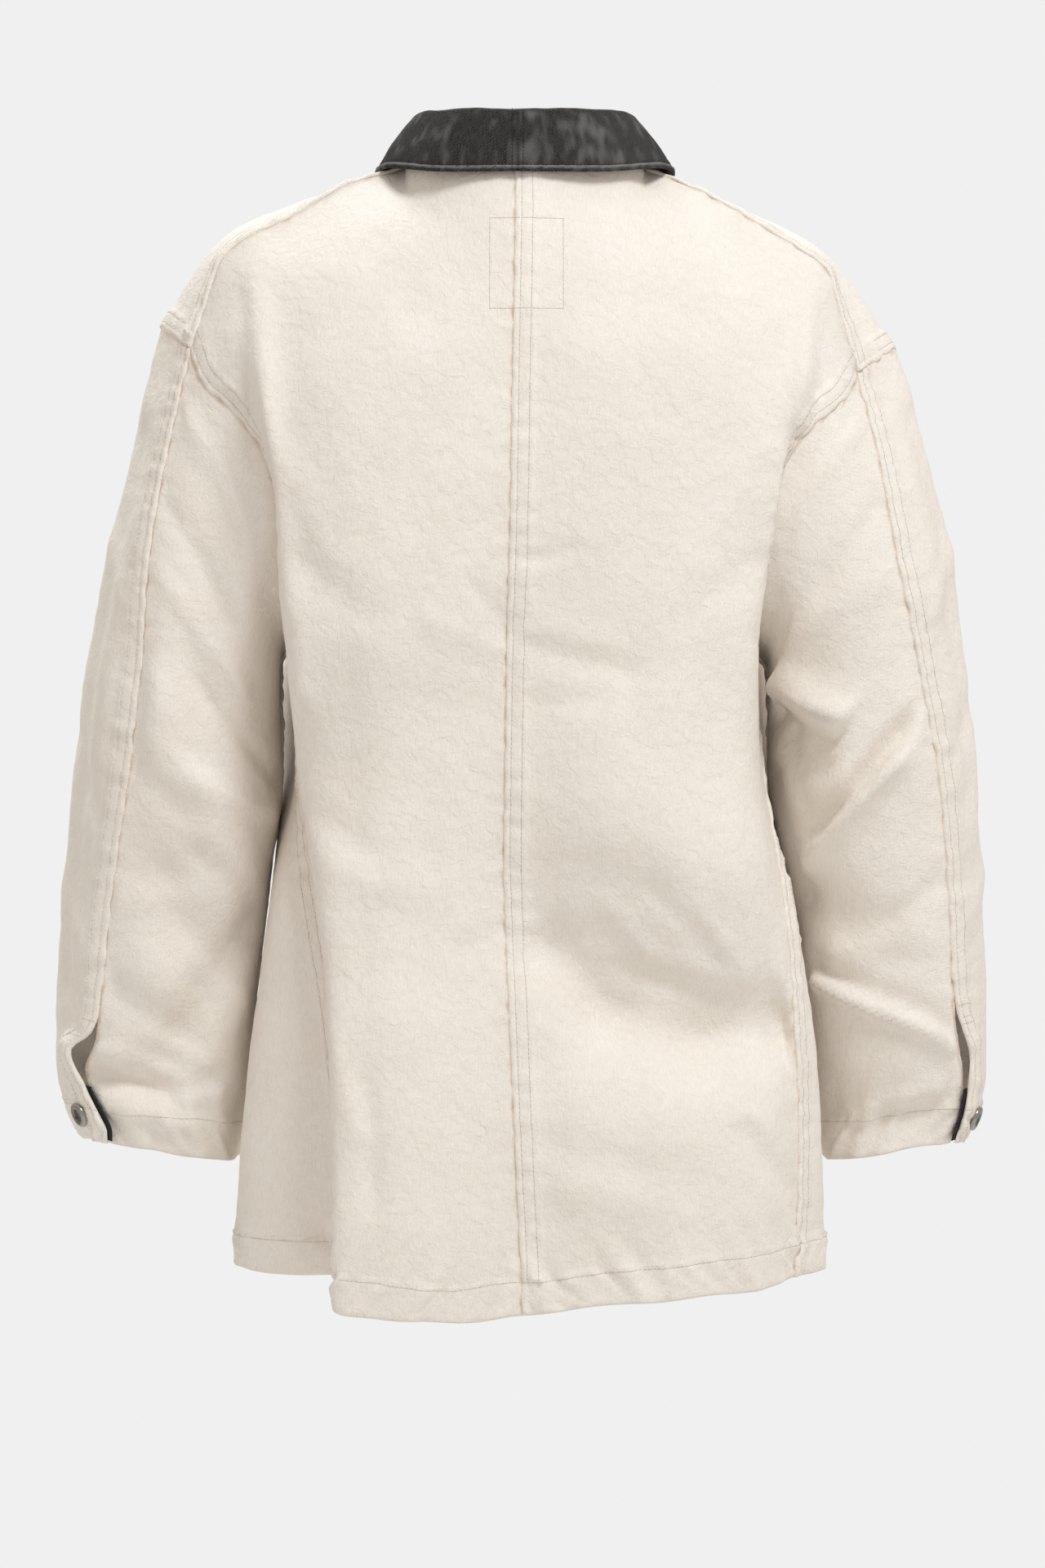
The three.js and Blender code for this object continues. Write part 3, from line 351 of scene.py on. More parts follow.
def lower_edge(distance, along, seed, on=1.0):
    """Relief of the panel that goes under a felled seam: small drags that run off the seam."""
    drag = waves(along, LOWER_DRAGS, seed) * (1 - smooth(distance / 22))
    return on * (drag - 0.5 * (1 - smooth(distance / 3)))


def painted_lap_shade(distance, along, seed, on=1.0):
    """A line of painted shade in the step beside a felled seam, from 0 to 1."""
    edge = FELL_OVER + 0.8 * ripple(along, 17, seed)
    return on * np.exp(-((distance - edge) / 1.1) ** 2) * (0.8 + 0.3 * ripple(along, 9, seed + 1))


# A hem: the edge is turned up twice and stitched once, and the thread makes it rope.
HEM_DEPTH = 22.0
HEM_STITCH = 1.2
HEM_ROPE = (1.0, 15)
HEM_DRAGS = (1.4, 27)
HEM_STATIONS = np.array([0, 0.8, 2, 4, 7, 10.5, 14, 17.5, 20, 21.3, 22.3, 23.4, 25, 27.5])


def hem_edge(distance, along, seed, depth=HEM_DEPTH):
    turned = 1 - smooth((distance - depth) / 2)
    rope = waves(along + 0.9 * distance, HEM_ROPE, seed) * turned * smooth(distance / 5)
    drag = waves(along + 0.5 * distance, HEM_DRAGS, seed + 1) * (1 - smooth((distance - depth) / 34))
    rounding = -0.5 * (1 - smooth(distance / 1.5))
    return 0.9 * turned + rope + drag + rounding + stitch_groove(distance, (depth - HEM_STITCH,))


def stations(width, knee=None, near=EDGE_STATIONS, far=EDGE_STATIONS, step=CLOTH_STEP):
    """Shares across every row of a grid: close together at both edges, even between them."""
    width = np.asarray(width, float)[:, None]
    left = near / width
    right = 1 - far[::-1] / width
    knees = [left[:, -1:]] + ([np.full_like(width, knee)] if knee else []) + [right[:, :1]]
    shares = [left]
    for a, b in zip(knees, knees[1:]):
        count = max(2, int(round(np.mean((b - a) * width) / step)))
        shares.append(a + (b - a) * np.linspace(0, 1, count + 1)[1:])
    shares[-1] = shares[-1][:, :-1]
    return np.concatenate(shares + [right], axis=1)


def row_widths(surface, rows):
    coarse = surface(np.tile(np.linspace(0, 1, 40), (len(rows), 1)), rows)
    return np.linalg.norm(np.diff(coarse, axis=1), axis=-1).sum(axis=1)


def surface_normals(points, inside):
    """Unit normals of a grid, and +1 or -1 for the way round its faces go to point outwards."""
    normal = np.cross(np.gradient(points, axis=1), np.gradient(points, axis=0))
    normal /= np.linalg.norm(normal, axis=-1, keepdims=True) + 1e-9
    facing = 1 if np.sum(normal * (points - inside)) > 0 else -1
    return normal * facing, facing


def add_object(name, data):
    made = bpy.data.objects.new(name, data)
    bpy.context.scene.collection.objects.link(made)
    return made


def make_cloth(name, points, inside, thickness, swell, relief, worn, painted_seam_shade):
    """A closed shell of cloth on a grid. swell moves both faces, relief only the outer one."""
    normal, facing = surface_normals(points, inside)
    middle = points + normal * swell[..., None]
    normal, _ = surface_normals(middle, inside)
    outer = middle + normal * (thickness / 2 + relief)[..., None]
    inner = middle - normal * thickness / 2
    rows, columns = points.shape[:2]
    index = np.arange(rows * columns).reshape(rows, columns)
    rim = np.concatenate([index[0], index[1:, -1], index[-1, -2::-1], index[-2:0:-1, 0]])
    row, column = np.divmod(rim, columns)
    neighbour = middle[np.clip(row, 1, rows - 2), np.clip(column, 1, columns - 2)]
    outward = unit(middle[row, column] - neighbour)
    bulge = (outer[row, column] + inner[row, column]) / 2 + outward * thickness * 0.3
    count = rows * columns
    lower = index[:-1, :-1].ravel()
    faces = np.stack([lower, lower + 1, lower + columns + 1, lower + columns], 1)
    ring = 2 * count + np.arange(len(rim))
    next_rim = np.roll(rim, -1)
    next_ring = np.roll(ring, -1)
    faces = np.concatenate([
        faces,
        faces[:, ::-1] + count,
        np.stack([rim, ring, next_ring, next_rim], 1),
        np.stack([ring, rim + count, next_rim + count, next_ring], 1),
    ])
    if facing < 0:
        faces = faces[:, ::-1]
    places = np.concatenate([outer.reshape(-1, 3), inner.reshape(-1, 3), bulge]) * MM
    mesh = bpy.data.meshes.new(name)
    mesh.from_pydata(places.tolist(), [], faces.tolist())
    mesh.shade_smooth()
    across = np.cumsum(np.linalg.norm(np.diff(points, axis=1, prepend=points[:, :1]), axis=-1), axis=1)
    up = np.cumsum(np.linalg.norm(np.diff(points, axis=0, prepend=points[:1]), axis=-1), axis=0)
    flat = np.stack([across - across[:, :1] + points[:, :1, 0], up + points[:1, :, 2]], -1)
    flat = flat.reshape(-1, 2) * MM
    flat = np.concatenate([flat, flat, flat[rim]])
    corners = np.empty(len(mesh.loops), int)
    mesh.loops.foreach_get("vertex_index", corners)
    mesh.uv_layers.new(name="cloth").data.foreach_set("uv", flat[corners].ravel())
    # worn is rubbed wear; the second attribute is painted shade in the steps beside seams.
    for title, share in (("worn", worn), ("painted_seam_shade", painted_seam_shade)):
        spread = np.concatenate([share.ravel(), share.ravel(), share[row, column]])
        mesh.attributes.new(title, "FLOAT", "POINT").data.foreach_set("value", np.clip(spread, 0, 1))
    return add_object(name, mesh), outer, normal


def add_node(tree, kind, sockets=(), **settings):
    """A node with its settings, and each named input either linked or given a value."""
    made = tree.nodes.new(kind)
    for key, value in settings.items():
        setattr(made, key, value)
    for key, value in dict(sockets).items():
        if isinstance(value, bpy.types.NodeSocket):
            tree.links.new(value, made.inputs[key])
        else:
            made.inputs[key].default_value = value
    return made


def shader_group(name, inputs, outputs):
    tree = bpy.data.node_groups.new(name, "ShaderNodeTree")
    for title, kind, value in inputs:
        tree.interface.new_socket(title, in_out="INPUT", socket_type=kind).default_value = value
    for title in outputs:
        tree.interface.new_socket(title, in_out="OUTPUT", socket_type="NodeSocketFloat")
    return tree, tree.nodes.new("NodeGroupInput").outputs, tree.nodes.new("NodeGroupOutput").inputs


def math_node(tree, operation, a, b=0.0):
    return add_node(tree, "ShaderNodeMath", {0: a, 1: b}, operation=operation).outputs[0]


def noise_node(tree, place, scale, detail):
    sockets = {"Vector": place, "Scale": scale, "Detail": detail}
    return add_node(tree, "ShaderNodeTexNoise", sockets).outputs[0]


# Twill: diagonal ribs with uneven yarns, read from the flat cloth's own coordinates.
twill, given, result = shader_group(
    "twill weave",
    [("Ribs", "NodeSocketVector", (700, 500, 0)), ("Yarn", "NodeSocketVector", (1800, 160, 1))],
    ["Rib", "Slub", "Streak"],
)
flat_cloth = add_node(twill, "ShaderNodeUVMap", uv_map="cloth").outputs[0]
sway = math_node(twill, "MULTIPLY", noise_node(twill, flat_cloth, 420.0, 1.0), 1.6)
across_ribs = {0: flat_cloth, 1: given["Ribs"]}
place = add_node(twill, "ShaderNodeVectorMath", across_ribs, operation="DOT_PRODUCT").outputs["Value"]
turn = math_node(twill, "ADD", place, sway)
wave = math_node(twill, "SINE", math_node(twill, "MULTIPLY", turn, 2 * math.pi))
rib = math_node(twill, "MULTIPLY_ADD", wave, 0.5)
rib.node.inputs[2].default_value = 0.5
twill.links.new(rib, result["Rib"])
along_yarn = {0: flat_cloth, 1: given["Yarn"]}
yarn_place = add_node(twill, "ShaderNodeVectorMath", along_yarn, operation="MULTIPLY").outputs[0]
twill.links.new(noise_node(twill, yarn_place, 1.0, 2.0), result["Slub"])
lean = add_node(twill, "ShaderNodeMapping", {
    "Vector": flat_cloth, "Rotation": (0, 0, math.radians(-38)), "Scale": (900, 150, 1),
})
twill.links.new(noise_node(twill, lean.outputs[0], 1.0, 3.0), result["Streak"])

# Washing leaves the colour a little cloudy, and the surface softly crumpled.
CRUMPLE_DEPTH = 0.0014
washed, given, result = shader_group(
    "washed cloth",
    [("Cloud", "NodeSocketFloat", 24.0), ("Crumple", "NodeSocketFloat", 130.0)],
    ["Cloud", "Crumple", "Speck"],
)
body_place = add_node(washed, "ShaderNodeTexCoord").outputs["Object"]
washed.links.new(noise_node(washed, body_place, given["Cloud"], 4.0), result["Cloud"])
creases = noise_node(washed, body_place, given["Crumple"], 5.0)
creases.node.inputs["Roughness"].default_value = 0.62
creases.node.inputs["Distortion"].default_value = 0.6
washed.links.new(creases, result["Crumple"])
dust = add_node(washed, "ShaderNodeTexVoronoi", {"Vector": body_place, "Scale": 170.0})
fleck = math_node(washed, "LESS_THAN", dust.outputs["Distance"], 0.055)
washed.links.new(fleck, result["Speck"])


def mixed(tree, share, a, b, blend="MIX"):
    node = add_node(tree, "ShaderNodeMix", data_type="RGBA", blend_type=blend)
    for socket, value in zip((node.inputs[0], node.inputs[6], node.inputs[7]), (share, a, b)):
        if isinstance(value, bpy.types.NodeSocket):
            tree.links.new(value, socket)
        else:
            socket.default_value = value
    return node.outputs[2]


def ramp(tree, value, low, high):
    """0 to 1 as the value goes from low to high."""
    sockets = {0: value, 1: low, 2: high}
    return add_node(tree, "ShaderNodeMapRange", sockets, interpolation_type="SMOOTHSTEP").outputs[0]


def new_material(name):
    material = bpy.data.materials.new(name)
    material.use_nodes = True
    return material, material.node_tree, material.node_tree.nodes["Principled BSDF"]


def twill_material(name, light, dark, worn_colour, seam_shade_colour, ribs, rib_share, height, rough, sheen):
    """Washed twill. light and dark are its two yarn colours, worn_colour that of rubbed edges, and the last
    colour that of the painted shade in the steps beside seams.
    """
    material, tree, shader = new_material(name)
    weave = add_node(tree, "ShaderNodeGroup", node_tree=twill)
    weave.inputs["Ribs"].default_value = ribs
    wash = add_node(tree, "ShaderNodeGroup", node_tree=washed)
    worn = add_node(tree, "ShaderNodeAttribute", attribute_name="worn").outputs["Fac"]
    streak = ramp(tree, weave.outputs["Streak"], 0.3, 0.7)
    slub = ramp(tree, weave.outputs["Slub"], 0.3, 0.75)
    yarn = math_node(tree, "MULTIPLY", weave.outputs["Rib"], rib_share)
    yarn = math_node(tree, "ADD", yarn, math_node(tree, "MULTIPLY", streak, (1 - rib_share) * 0.55))
    yarn = math_node(tree, "ADD", yarn, math_node(tree, "MULTIPLY", slub, (1 - rib_share) * 0.45))
    cloth = mixed(tree, yarn, dark, light)
    cloud = ramp(tree, wash.outputs["Cloud"], 0.3, 0.75)
    tinted = mixed(tree, 1.0, cloth, (0.975, 0.965, 0.945, 1), "MULTIPLY")
    cloth = mixed(tree, cloud, tinted, cloth)
    cloth = mixed(tree, worn, cloth, worn_colour)
    # Painted shade: darker and warmer in the steps beside seams, where the lapping edge would shade the
    # cloth.
    painted_seam_shade = add_node(tree, "ShaderNodeAttribute", attribute_name="painted_seam_shade").outputs["Fac"]
    seam_shaded = mixed(tree, 1.0, cloth, seam_shade_colour, "MULTIPLY")
    cloth = mixed(tree, painted_seam_shade, cloth, seam_shaded)
    fleck = math_node(tree, "MULTIPLY", wash.outputs["Speck"], 0.12)
    cloth = mixed(tree, fleck, cloth, (0.3, 0.22, 0.14, 1))
    tree.links.new(cloth, shader.inputs["Base Color"])
    relief = math_node(tree, "MULTIPLY", weave.outputs["Rib"], height)
    relief = math_node(tree, "ADD", relief, math_node(tree, "MULTIPLY", slub, height * 0.8))
    crumpled = math_node(tree, "MULTIPLY", wash.outputs["Crumple"], CRUMPLE_DEPTH)
    relief = math_node(tree, "ADD", relief, crumpled)
    bump = add_node(tree, "ShaderNodeBump", {"Height": relief, "Strength": 1.0, "Distance": 1.0})
    tree.links.new(bump.outputs[0], shader.inputs["Normal"])
    shader.inputs["Roughness"].default_value = rough
    shader.inputs["Sheen Weight"].default_value = sheen
    shader.inputs["Sheen Roughness"].default_value = 0.55
    shader.inputs["Specular IOR Level"].default_value = 0.18
    return material


# The ecru twill's last colour is the painted shade in the steps beside its seams.
ecru_twill = twill_material(
    "ecru twill", light=(0.90, 0.84, 0.78, 1), dark=(0.80, 0.73, 0.65, 1), worn_colour=(0.74, 0.65, 0.54, 1),
    seam_shade_colour=(0.76, 0.64, 0.54, 1),
    ribs=(700, 560, 0), rib_share=0.22, height=0.00006, rough=0.9, sheen=0.08,
)


def finish_cloth(piece, material, node):
    piece.data.materials.append(material)
    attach(piece, "root")
    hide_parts(node)


def seam_line(outer, normal, distance, row, first=True, keep=None):
    """Where a row of stitches runs: each grid row's place at that distance from its edge."""
    if not first:
        outer, normal, distance = outer[:, ::-1], normal[:, ::-1], distance[:, ::-1]
    j = np.maximum(1, np.argmax(distance > row, axis=1))
    i = np.arange(len(outer))
    t = ((row - distance[i, j - 1]) / (distance[i, j] - distance[i, j - 1]))[:, None]
    place = outer[i, j - 1] * (1 - t) + outer[i, j] * t
    up = normal[i, j - 1] * (1 - t) + normal[i, j] * t
    return (place, up) if keep is None else (place[keep], up[keep])


def edge_line(outer, normal, distance, row, first=True, keep=None):
    """A row of stitches that follows the lower or upper edge of a grid."""
    turned = (np.swapaxes(outer, 0, 1), np.swapaxes(normal, 0, 1), distance.T)
    return seam_line(*turned, row, first, keep)


def across_band(outer, normal, distance, row, near, far, first=True):
    """A short line of stitches across a band, from near to far millimetres off its edge."""
    steps = [seam_line(outer, normal, distance, at, first) for at in np.linspace(near, far, 6)]
    return np.array([place[row] for place, _ in steps]), np.array([up[row] for _, up in steps])


stitch_rows = []
box_rows = []
THREAD_BOX = {"above": -40, "below": -100, "left": 22.5, "right": -24.5}
HEM_LENGTH = 735
BACK_R = np.concatenate([
    HEM_STATIONS / HEM_LENGTH,
    np.linspace(HEM_STATIONS[-1] / HEM_LENGTH, UNDERARM, int(0.54 * HEM_LENGTH / CLOTH_STEP))[1:],
    np.linspace(UNDERARM, 1, int(0.42 * HEM_LENGTH / CLOTH_STEP))[1:],
])
THREAD_PITCH = 2.0
for side in ("left", "right"):
    def surface(s, r):
        return back_surface(side, s, r)
    shares = stations(row_widths(surface, BACK_R), knee=NECK_END)
    points = surface(shares, BACK_R)
    middle_gap, middle_run = from_edge(points, "first")
    side_gap, side_run = from_edge(points, "last")
    hem_gap, hem_run = from_edge(points, "bottom")
    top_gap, top_run = from_edge(points, "top")
    in_arm = (BACK_R > UNDERARM)[:, None] * 1.0
    swell = crumples(points, BODY_CRUMPLES)
    relief = hem_edge(hem_gap, hem_run, 4)
    over = np.zeros_like(relief)
    if side == "right":
        lap, over = upper_edge(middle_gap, middle_run, 10, wander=0.35)
        relief += lap + lower_edge(side_gap, side_run, 12, 1 - in_arm)
    else:
        relief += lower_edge(middle_gap, middle_run, 10) + lower_edge(side_gap, side_run, 12, 1 - in_arm)
    arm_lap, arm_over = upper_edge(side_gap, side_run, 14, in_arm)
    relief += arm_lap + lower_edge(top_gap, top_run, 16)
    towards_seam = -unit(np.gradient(points, axis=1))
    shifted = points + towards_seam * (over - arm_over)[..., None]
    shifted[..., 2] += hem_wander(points, hem_gap, *HEM_WANDER)
    worn = 0.3 * np.exp(-hem_gap / 1.5)
    # Painted shade in the steps beside the side, shoulder and centre seams.
    painted_seam_shade = painted_lap_shade(side_gap, side_run, 33, 1 - in_arm) + painted_lap_shade(top_gap, top_run, 35)
    if side == "left":
        painted_seam_shade += painted_lap_shade(middle_gap, middle_run, 13)
    inside = np.array([0, 0, -300])
    name = "back_" + side
    piece, outer, normal = make_cloth(name + "_cloth", shifted, inside, CLOTH, swell, relief, worn, painted_seam_shade)
    finish_cloth(piece, ecru_twill, name)
    above_hem = BACK_R > HEM_DEPTH / HEM_LENGTH
    if side == "right":
        for row in FELL_ROWS:
            stitch_rows.append(seam_line(outer, normal, middle_gap, row, keep=above_hem))
    by_arm = BACK_R > UNDERARM + 0.01
    for row in FELL_ROWS:
        stitch_rows.append(seam_line(outer, normal, side_gap, row, first=False, keep=by_arm))
    stitch_rows.append(edge_line(outer, normal, hem_gap, HEM_DEPTH - HEM_STITCH))
    # Thread box below the collar, sewn through both halves.
    both = np.concatenate([outer, normal], axis=-1)
    heights = np.arange(THREAD_BOX["below"], THREAD_BOX["above"] + 1, THREAD_PITCH)
    level = np.array([[np.interp(heights, column[:, 2], column[:, d]) for d in range(6)]
                      for column in both[:, :30].swapaxes(0, 1)]).transpose(2, 0, 1)
    away = SIGN[side] * level[..., 0]
    reach = abs(THREAD_BOX[side])
    upright = np.array([[np.interp(reach, x, row[:, d]) for d in range(6)] for x, row in zip(away, level)])
    box_rows.append((upright[:, :3], upright[:, 3:]))
    for row, corner in ((level[0], upright[0]), (level[-1], upright[-1])):
        rung = np.concatenate([row[1:][SIGN[side] * row[1:, 0] < reach], corner[None]])
        box_rows.append((rung[:, :3], rung[:, 3:]))

# THE FRONTS: two halves of the same twill, which run from the centre front round the side to its
# seam and over the shoulder. The left one laps the right one, and its edge is stitched down.

CENTRE_FRONT = table(
    "r out y z",
    (0, 0, -128, -714), (0.12, 0, -128, -640), (0.25, 0, -128, -560), (0.38, 0, -128, -470),
    (0.48, 0, -130, -395), (0.58, 0, -134, -325), (0.65, 0, -136, -280), (0.72, 0, -134, -232),
    (0.79, 0, -127, -185), (0.87, 0, -112, -138), (0.935, 0, -94, -102), (1, 0, -74, -68),
)
CHEST_ROWS = (
    (0.65, 29, 0, 98, -129, 137, -104, 147, -80), (0.72, 36, 0, 97, -123, 138, -107, 153, -96),
    (0.79, 45, 0, 95, -108, 148, -97, 172, -92), (0.87, 62, 0, 91, -76, 158, -64, 198, -60),
    (0.935, 84, 0, 84, -30, 162, -14, 210, -6),
)
FRONT_ROWS = {
    "left": table(
        ROW_NAMES,
        (0, 0, 0, 100, -120, 162, -60, 182, 62), (0.12, 0, 0, 100, -120, 159, -60, 179, 62),
        (0.25, 0, 0, 100, -120, 158, -72, 172, 58), (0.38, 0, 0, 100, -122, 160, -80, 160.5, 50),
        (0.48, 0, 0, 100, -125, 166, -84, 151, 2), (0.58, 4, 0, 98, -128, 160, -94, 151.5, -42),
        *CHEST_ROWS,
    ),
    "right": table(
        ROW_NAMES,
        (0, 0, 0, 102, -120, 168, -58, 193, 46), (0.12, 0, 0, 102, -120, 166, -58, 192, 46),
        (0.25, 0, 0, 101, -120, 158, -62, 186, 46), (0.38, 0, 0, 100, -122, 163, -78, 171, 42),
        (0.48, 0, 0, 100, -125, 166, -84, 153, -6), (0.58, 4, 0, 98, -128, 160, -94, 149.5, -42),
        *CHEST_ROWS,
    ),
}
ARM_FRONT = {
    "left": table(
        "r out y z",
        (0.58, 152, 8, -310), (0.65, 150, -48, -292), (0.72, 160, -82, -240), (0.79, 190, -84, -180),
        (0.87, 224, -52, -126), (0.935, 240, -4, -99), (1, 217, 46, -119),
    ),
    "right": table(
        "r out y z",
        (0.58, 150, 6, -315), (0.65, 149, -48, -297), (0.72, 160, -82, -247), (0.79, 191, -84, -188),
        (0.87, 226, -52, -138), (0.935, 244, -4, -113), (1, 216, 46, -134),
    ),
}
PLACKET = 0.06
PLACKET_LIFT = 1.9
FRONT_LENGTH = 720
FRONT_STEP = 4.2
PLACKET_STITCH = 4.0
LAP_WIDTH = 21
FRONT_BUTTONS = (0.945, 0.77, 0.6, 0.425, 0.26)
BUTTONHOLE = 25.0
BUTTONHOLE_LIP = 0.7
# Small folds of the fronts and sides, seen from the front.
FRONT_FOLDS = table(
    FOLD_NAMES,
    (60, -210, 120, -330, 26, 6), (-55, -220, -125, -320, 28, 6), (30, -480, 120, -520, 30, -5),
    (-20, -430, -110, -500, 34, -6), (70, -600, 60, -690, 36, 5), (-75, -590, -60, -690, 34, 5),
)


def centre_front(r):
    return line(CENTRE_FRONT, "r", r, "left")


def front_surface(side, s, r):
    points = panel(side, FRONT_ROWS[side], centre_front, ARM_FRONT, s, r)
    points[..., 0] *= np.where(s < 0, -1, 1)
    points[..., 1] -= SIGN[side] * PLACKET_LIFT * (1 - smooth((s - PLACKET) / PLACKET))
    ahead = smooth((-points[..., 1] - 60) / 40) * smooth((s - PLACKET) / 0.1)
    ahead *= smooth((1 - r) / 0.1)[:, None]
    points[..., 1] -= fold_height(FRONT_FOLDS, points[..., 0], points[..., 2]) * ahead * 0.6
    return points


FRONT_R = np.concatenate([
    HEM_STATIONS / FRONT_LENGTH,
    np.linspace(HEM_STATIONS[-1] / FRONT_LENGTH, UNDERARM, int(0.54 * FRONT_LENGTH / FRONT_STEP))[1:],
    np.linspace(UNDERARM, 1, int(0.62 * FRONT_LENGTH / FRONT_STEP))[1:-5],
    1 - EDGE_STATIONS[::-1] / 400,
])
FRONT_R = np.unique(np.round(FRONT_R, 6))
for side in ("left", "right"):
    def surface(s, r):
        return front_surface(side, s * (1 + PLACKET) - PLACKET, r)
    widths = row_widths(surface, FRONT_R)
    knee = (NECK_END + PLACKET) / (1 + PLACKET)
    shares = stations(widths, knee=knee, near=EDGE_STATIONS[:9], step=FRONT_STEP)
    points = surface(shares, FRONT_R)
    front_gap, front_run = from_edge(points, "first")
    side_gap, side_run = from_edge(points, "last")
    hem_gap, hem_run = from_edge(points, "bottom")
    top_gap, top_run = from_edge(points, "top")
    in_arm = (FRONT_R > UNDERARM)[:, None] * 1.0
    on_shoulder = smooth((shares - knee) / 0.02)
    swell = crumples(points, BODY_CRUMPLES)
    relief = hem_edge(hem_gap, hem_run, 24)
    relief += -0.5 * (1 - smooth(front_gap / 1.5)) + stitch_groove(front_gap, (PLACKET_STITCH,))
    side_lap, side_over = upper_edge(side_gap, side_run, 30)
    top_lap, top_over = upper_edge(top_gap, top_run, 32, on_shoulder)
    relief += side_lap + top_lap
    if side == "right":
        relief *= smooth((-points[..., 0] - LAP_WIDTH) / 6)
    towards_side = unit(np.gradient(points, axis=1))
    towards_top = unit(np.gradient(points, axis=0))
    keep_low = 1 - smooth((0.03 - (1 - FRONT_R)) / 0.03)[:, None]
    shifted = points + towards_side * (side_over * keep_low)[..., None] + towards_top * top_over[..., None]
    shifted[..., 2] += hem_wander(points, hem_gap, *HEM_WANDER)
    worn = 0.3 * np.exp(-hem_gap / 1.5) + 0.3 * np.exp(-front_gap / 1.5)
    inside = np.array([0, 0, -300])
    name = "front_" + side
    piece, outer, normal = make_cloth(name + "_cloth", shifted, inside, CLOTH, swell, relief, worn, 0 * worn)
    finish_cloth(piece, ecru_twill, name)
    below_neck = FRONT_R < 0.97
    above_hem = (FRONT_R > HEM_DEPTH / FRONT_LENGTH) & below_neck
    for row in FELL_ROWS:
        stitch_rows.append(seam_line(outer, normal, side_gap, row, first=False, keep=above_hem))
    beyond = np.mean(shares, axis=0) > knee + 0.01
    for row in FELL_ROWS:
        stitch_rows.append(edge_line(outer, normal, top_gap, row, first=False, keep=beyond))
    stitch_rows.append(seam_line(outer, normal, front_gap, PLACKET_STITCH, keep=below_neck))
    if side == "left":
        wide = np.abs(outer[40, :, 0]) < BUTTONHOLE / 2
        for row in FRONT_BUTTONS:
            for lip in (-BUTTONHOLE_LIP, BUTTONHOLE_LIP):
                at = (row * FRONT_LENGTH + lip) / FRONT_LENGTH
                i = int(np.searchsorted(FRONT_R, at)) - 1
                t = (at - FRONT_R[i]) / (FRONT_R[i + 1] - FRONT_R[i])
                place = outer[i, wide] * (1 - t) + outer[i + 1, wide] * t
                box_rows.append((place, normal[i, wide]))
    stitch_rows.append(edge_line(outer, normal, hem_gap, HEM_DEPTH - HEM_STITCH))

# THE SLEEVES: two pieces each, an upper one in front that laps a narrower one behind, felled and
# stitched twice. They hang from dropped shoulders, creased at the elbow and open at the cuff vent.

RING_NAMES = "f outer_x outer_z inner_x inner_z front back seam under"
SLEEVE_RINGS = {
    "left": table(
        RING_NAMES,
        (0, 240, -99, 152, -310, -85, 80, 50, 178), (0.12, 254, -155, 160, -321, -84, 78, 53, 180),
        (0.25, 269, -218, 160, -354, -80, 74, 58, 184), (0.4, 283, -295, 160, -402, -76, 68, 64, 189),
        (0.55, 296, -375, 166, -452, -72, 62, 66, 194), (0.7, 304, -460, 173, -512, -68, 54, 62, 198),
        (0.85, 310, -555, 181, -585, -62, 44, 59, 202), (0.95, 307, -607, 186, -630, -57, 37, 56, 204),
        (1, 296, -634, 188, -650, -54, 33, 53, 205),
    ),
    "right": table(
        RING_NAMES,
        (0, 244, -113, 150, -315, -85, 80, 50, 178), (0.12, 261, -158, 159, -326, -84, 78, 58, 180),
        (0.25, 277, -222, 160, -358, -80, 74, 65, 184),
        (0.4, 287, -300, 160.5, -404, -76, 68, 60, 189),
        (0.55, 296, -375, 169, -452, -72, 62, 56, 194), (0.7, 301, -462, 181, -512, -68, 54, 54, 198),
        (0.85, 305, -550, 189, -582, -62, 44, 54, 202), (0.95, 302, -612, 193, -630, -57, 37, 46, 204),
        (1, 291, -636, 196, -650, -54, 33, 40, 205),
    ),
}
SLEEVE_LENGTH = 560
DEGREE_LENGTH = 1.2
ARMHOLE_FADE = 0.34
VENT_NAMES = "f over out"
VENT = {
    "left": table(
        VENT_NAMES,
        (0.8, 0, 0), (0.842, -0.5, 1.6), (0.857, -4, 3.5), (0.871, -14, 7.5), (0.886, -14, 8),
        (0.9, -11, 7), (0.915, -6, 6), (0.935, -0.5, 5.2), (0.96, 6, 4.8), (0.978, 9, 4.6),
        (1, 6, 4.6),
    ),
    "right": table(
        VENT_NAMES,
        (0.8, 0, 0), (0.84, -1, 1.6), (0.86, -3, 4), (0.885, -6, 5), (0.92, -2, 5), (0.95, 1.5, 5.2),
        (1, 3, 5.2),
    ),
}
VENT_UNDER = {
    "left": table("f over", (0.85, 0), (0.87, 1.5), (0.89, 7), (0.912, 8.5), (0.94, 5), (0.97, 2), (1, 1)),
    "right": table("f over", (0.85, 0), (0.88, 1), (0.91, 2), (0.95, 1), (1, 0)),
}
VENT_FADE = 0.22
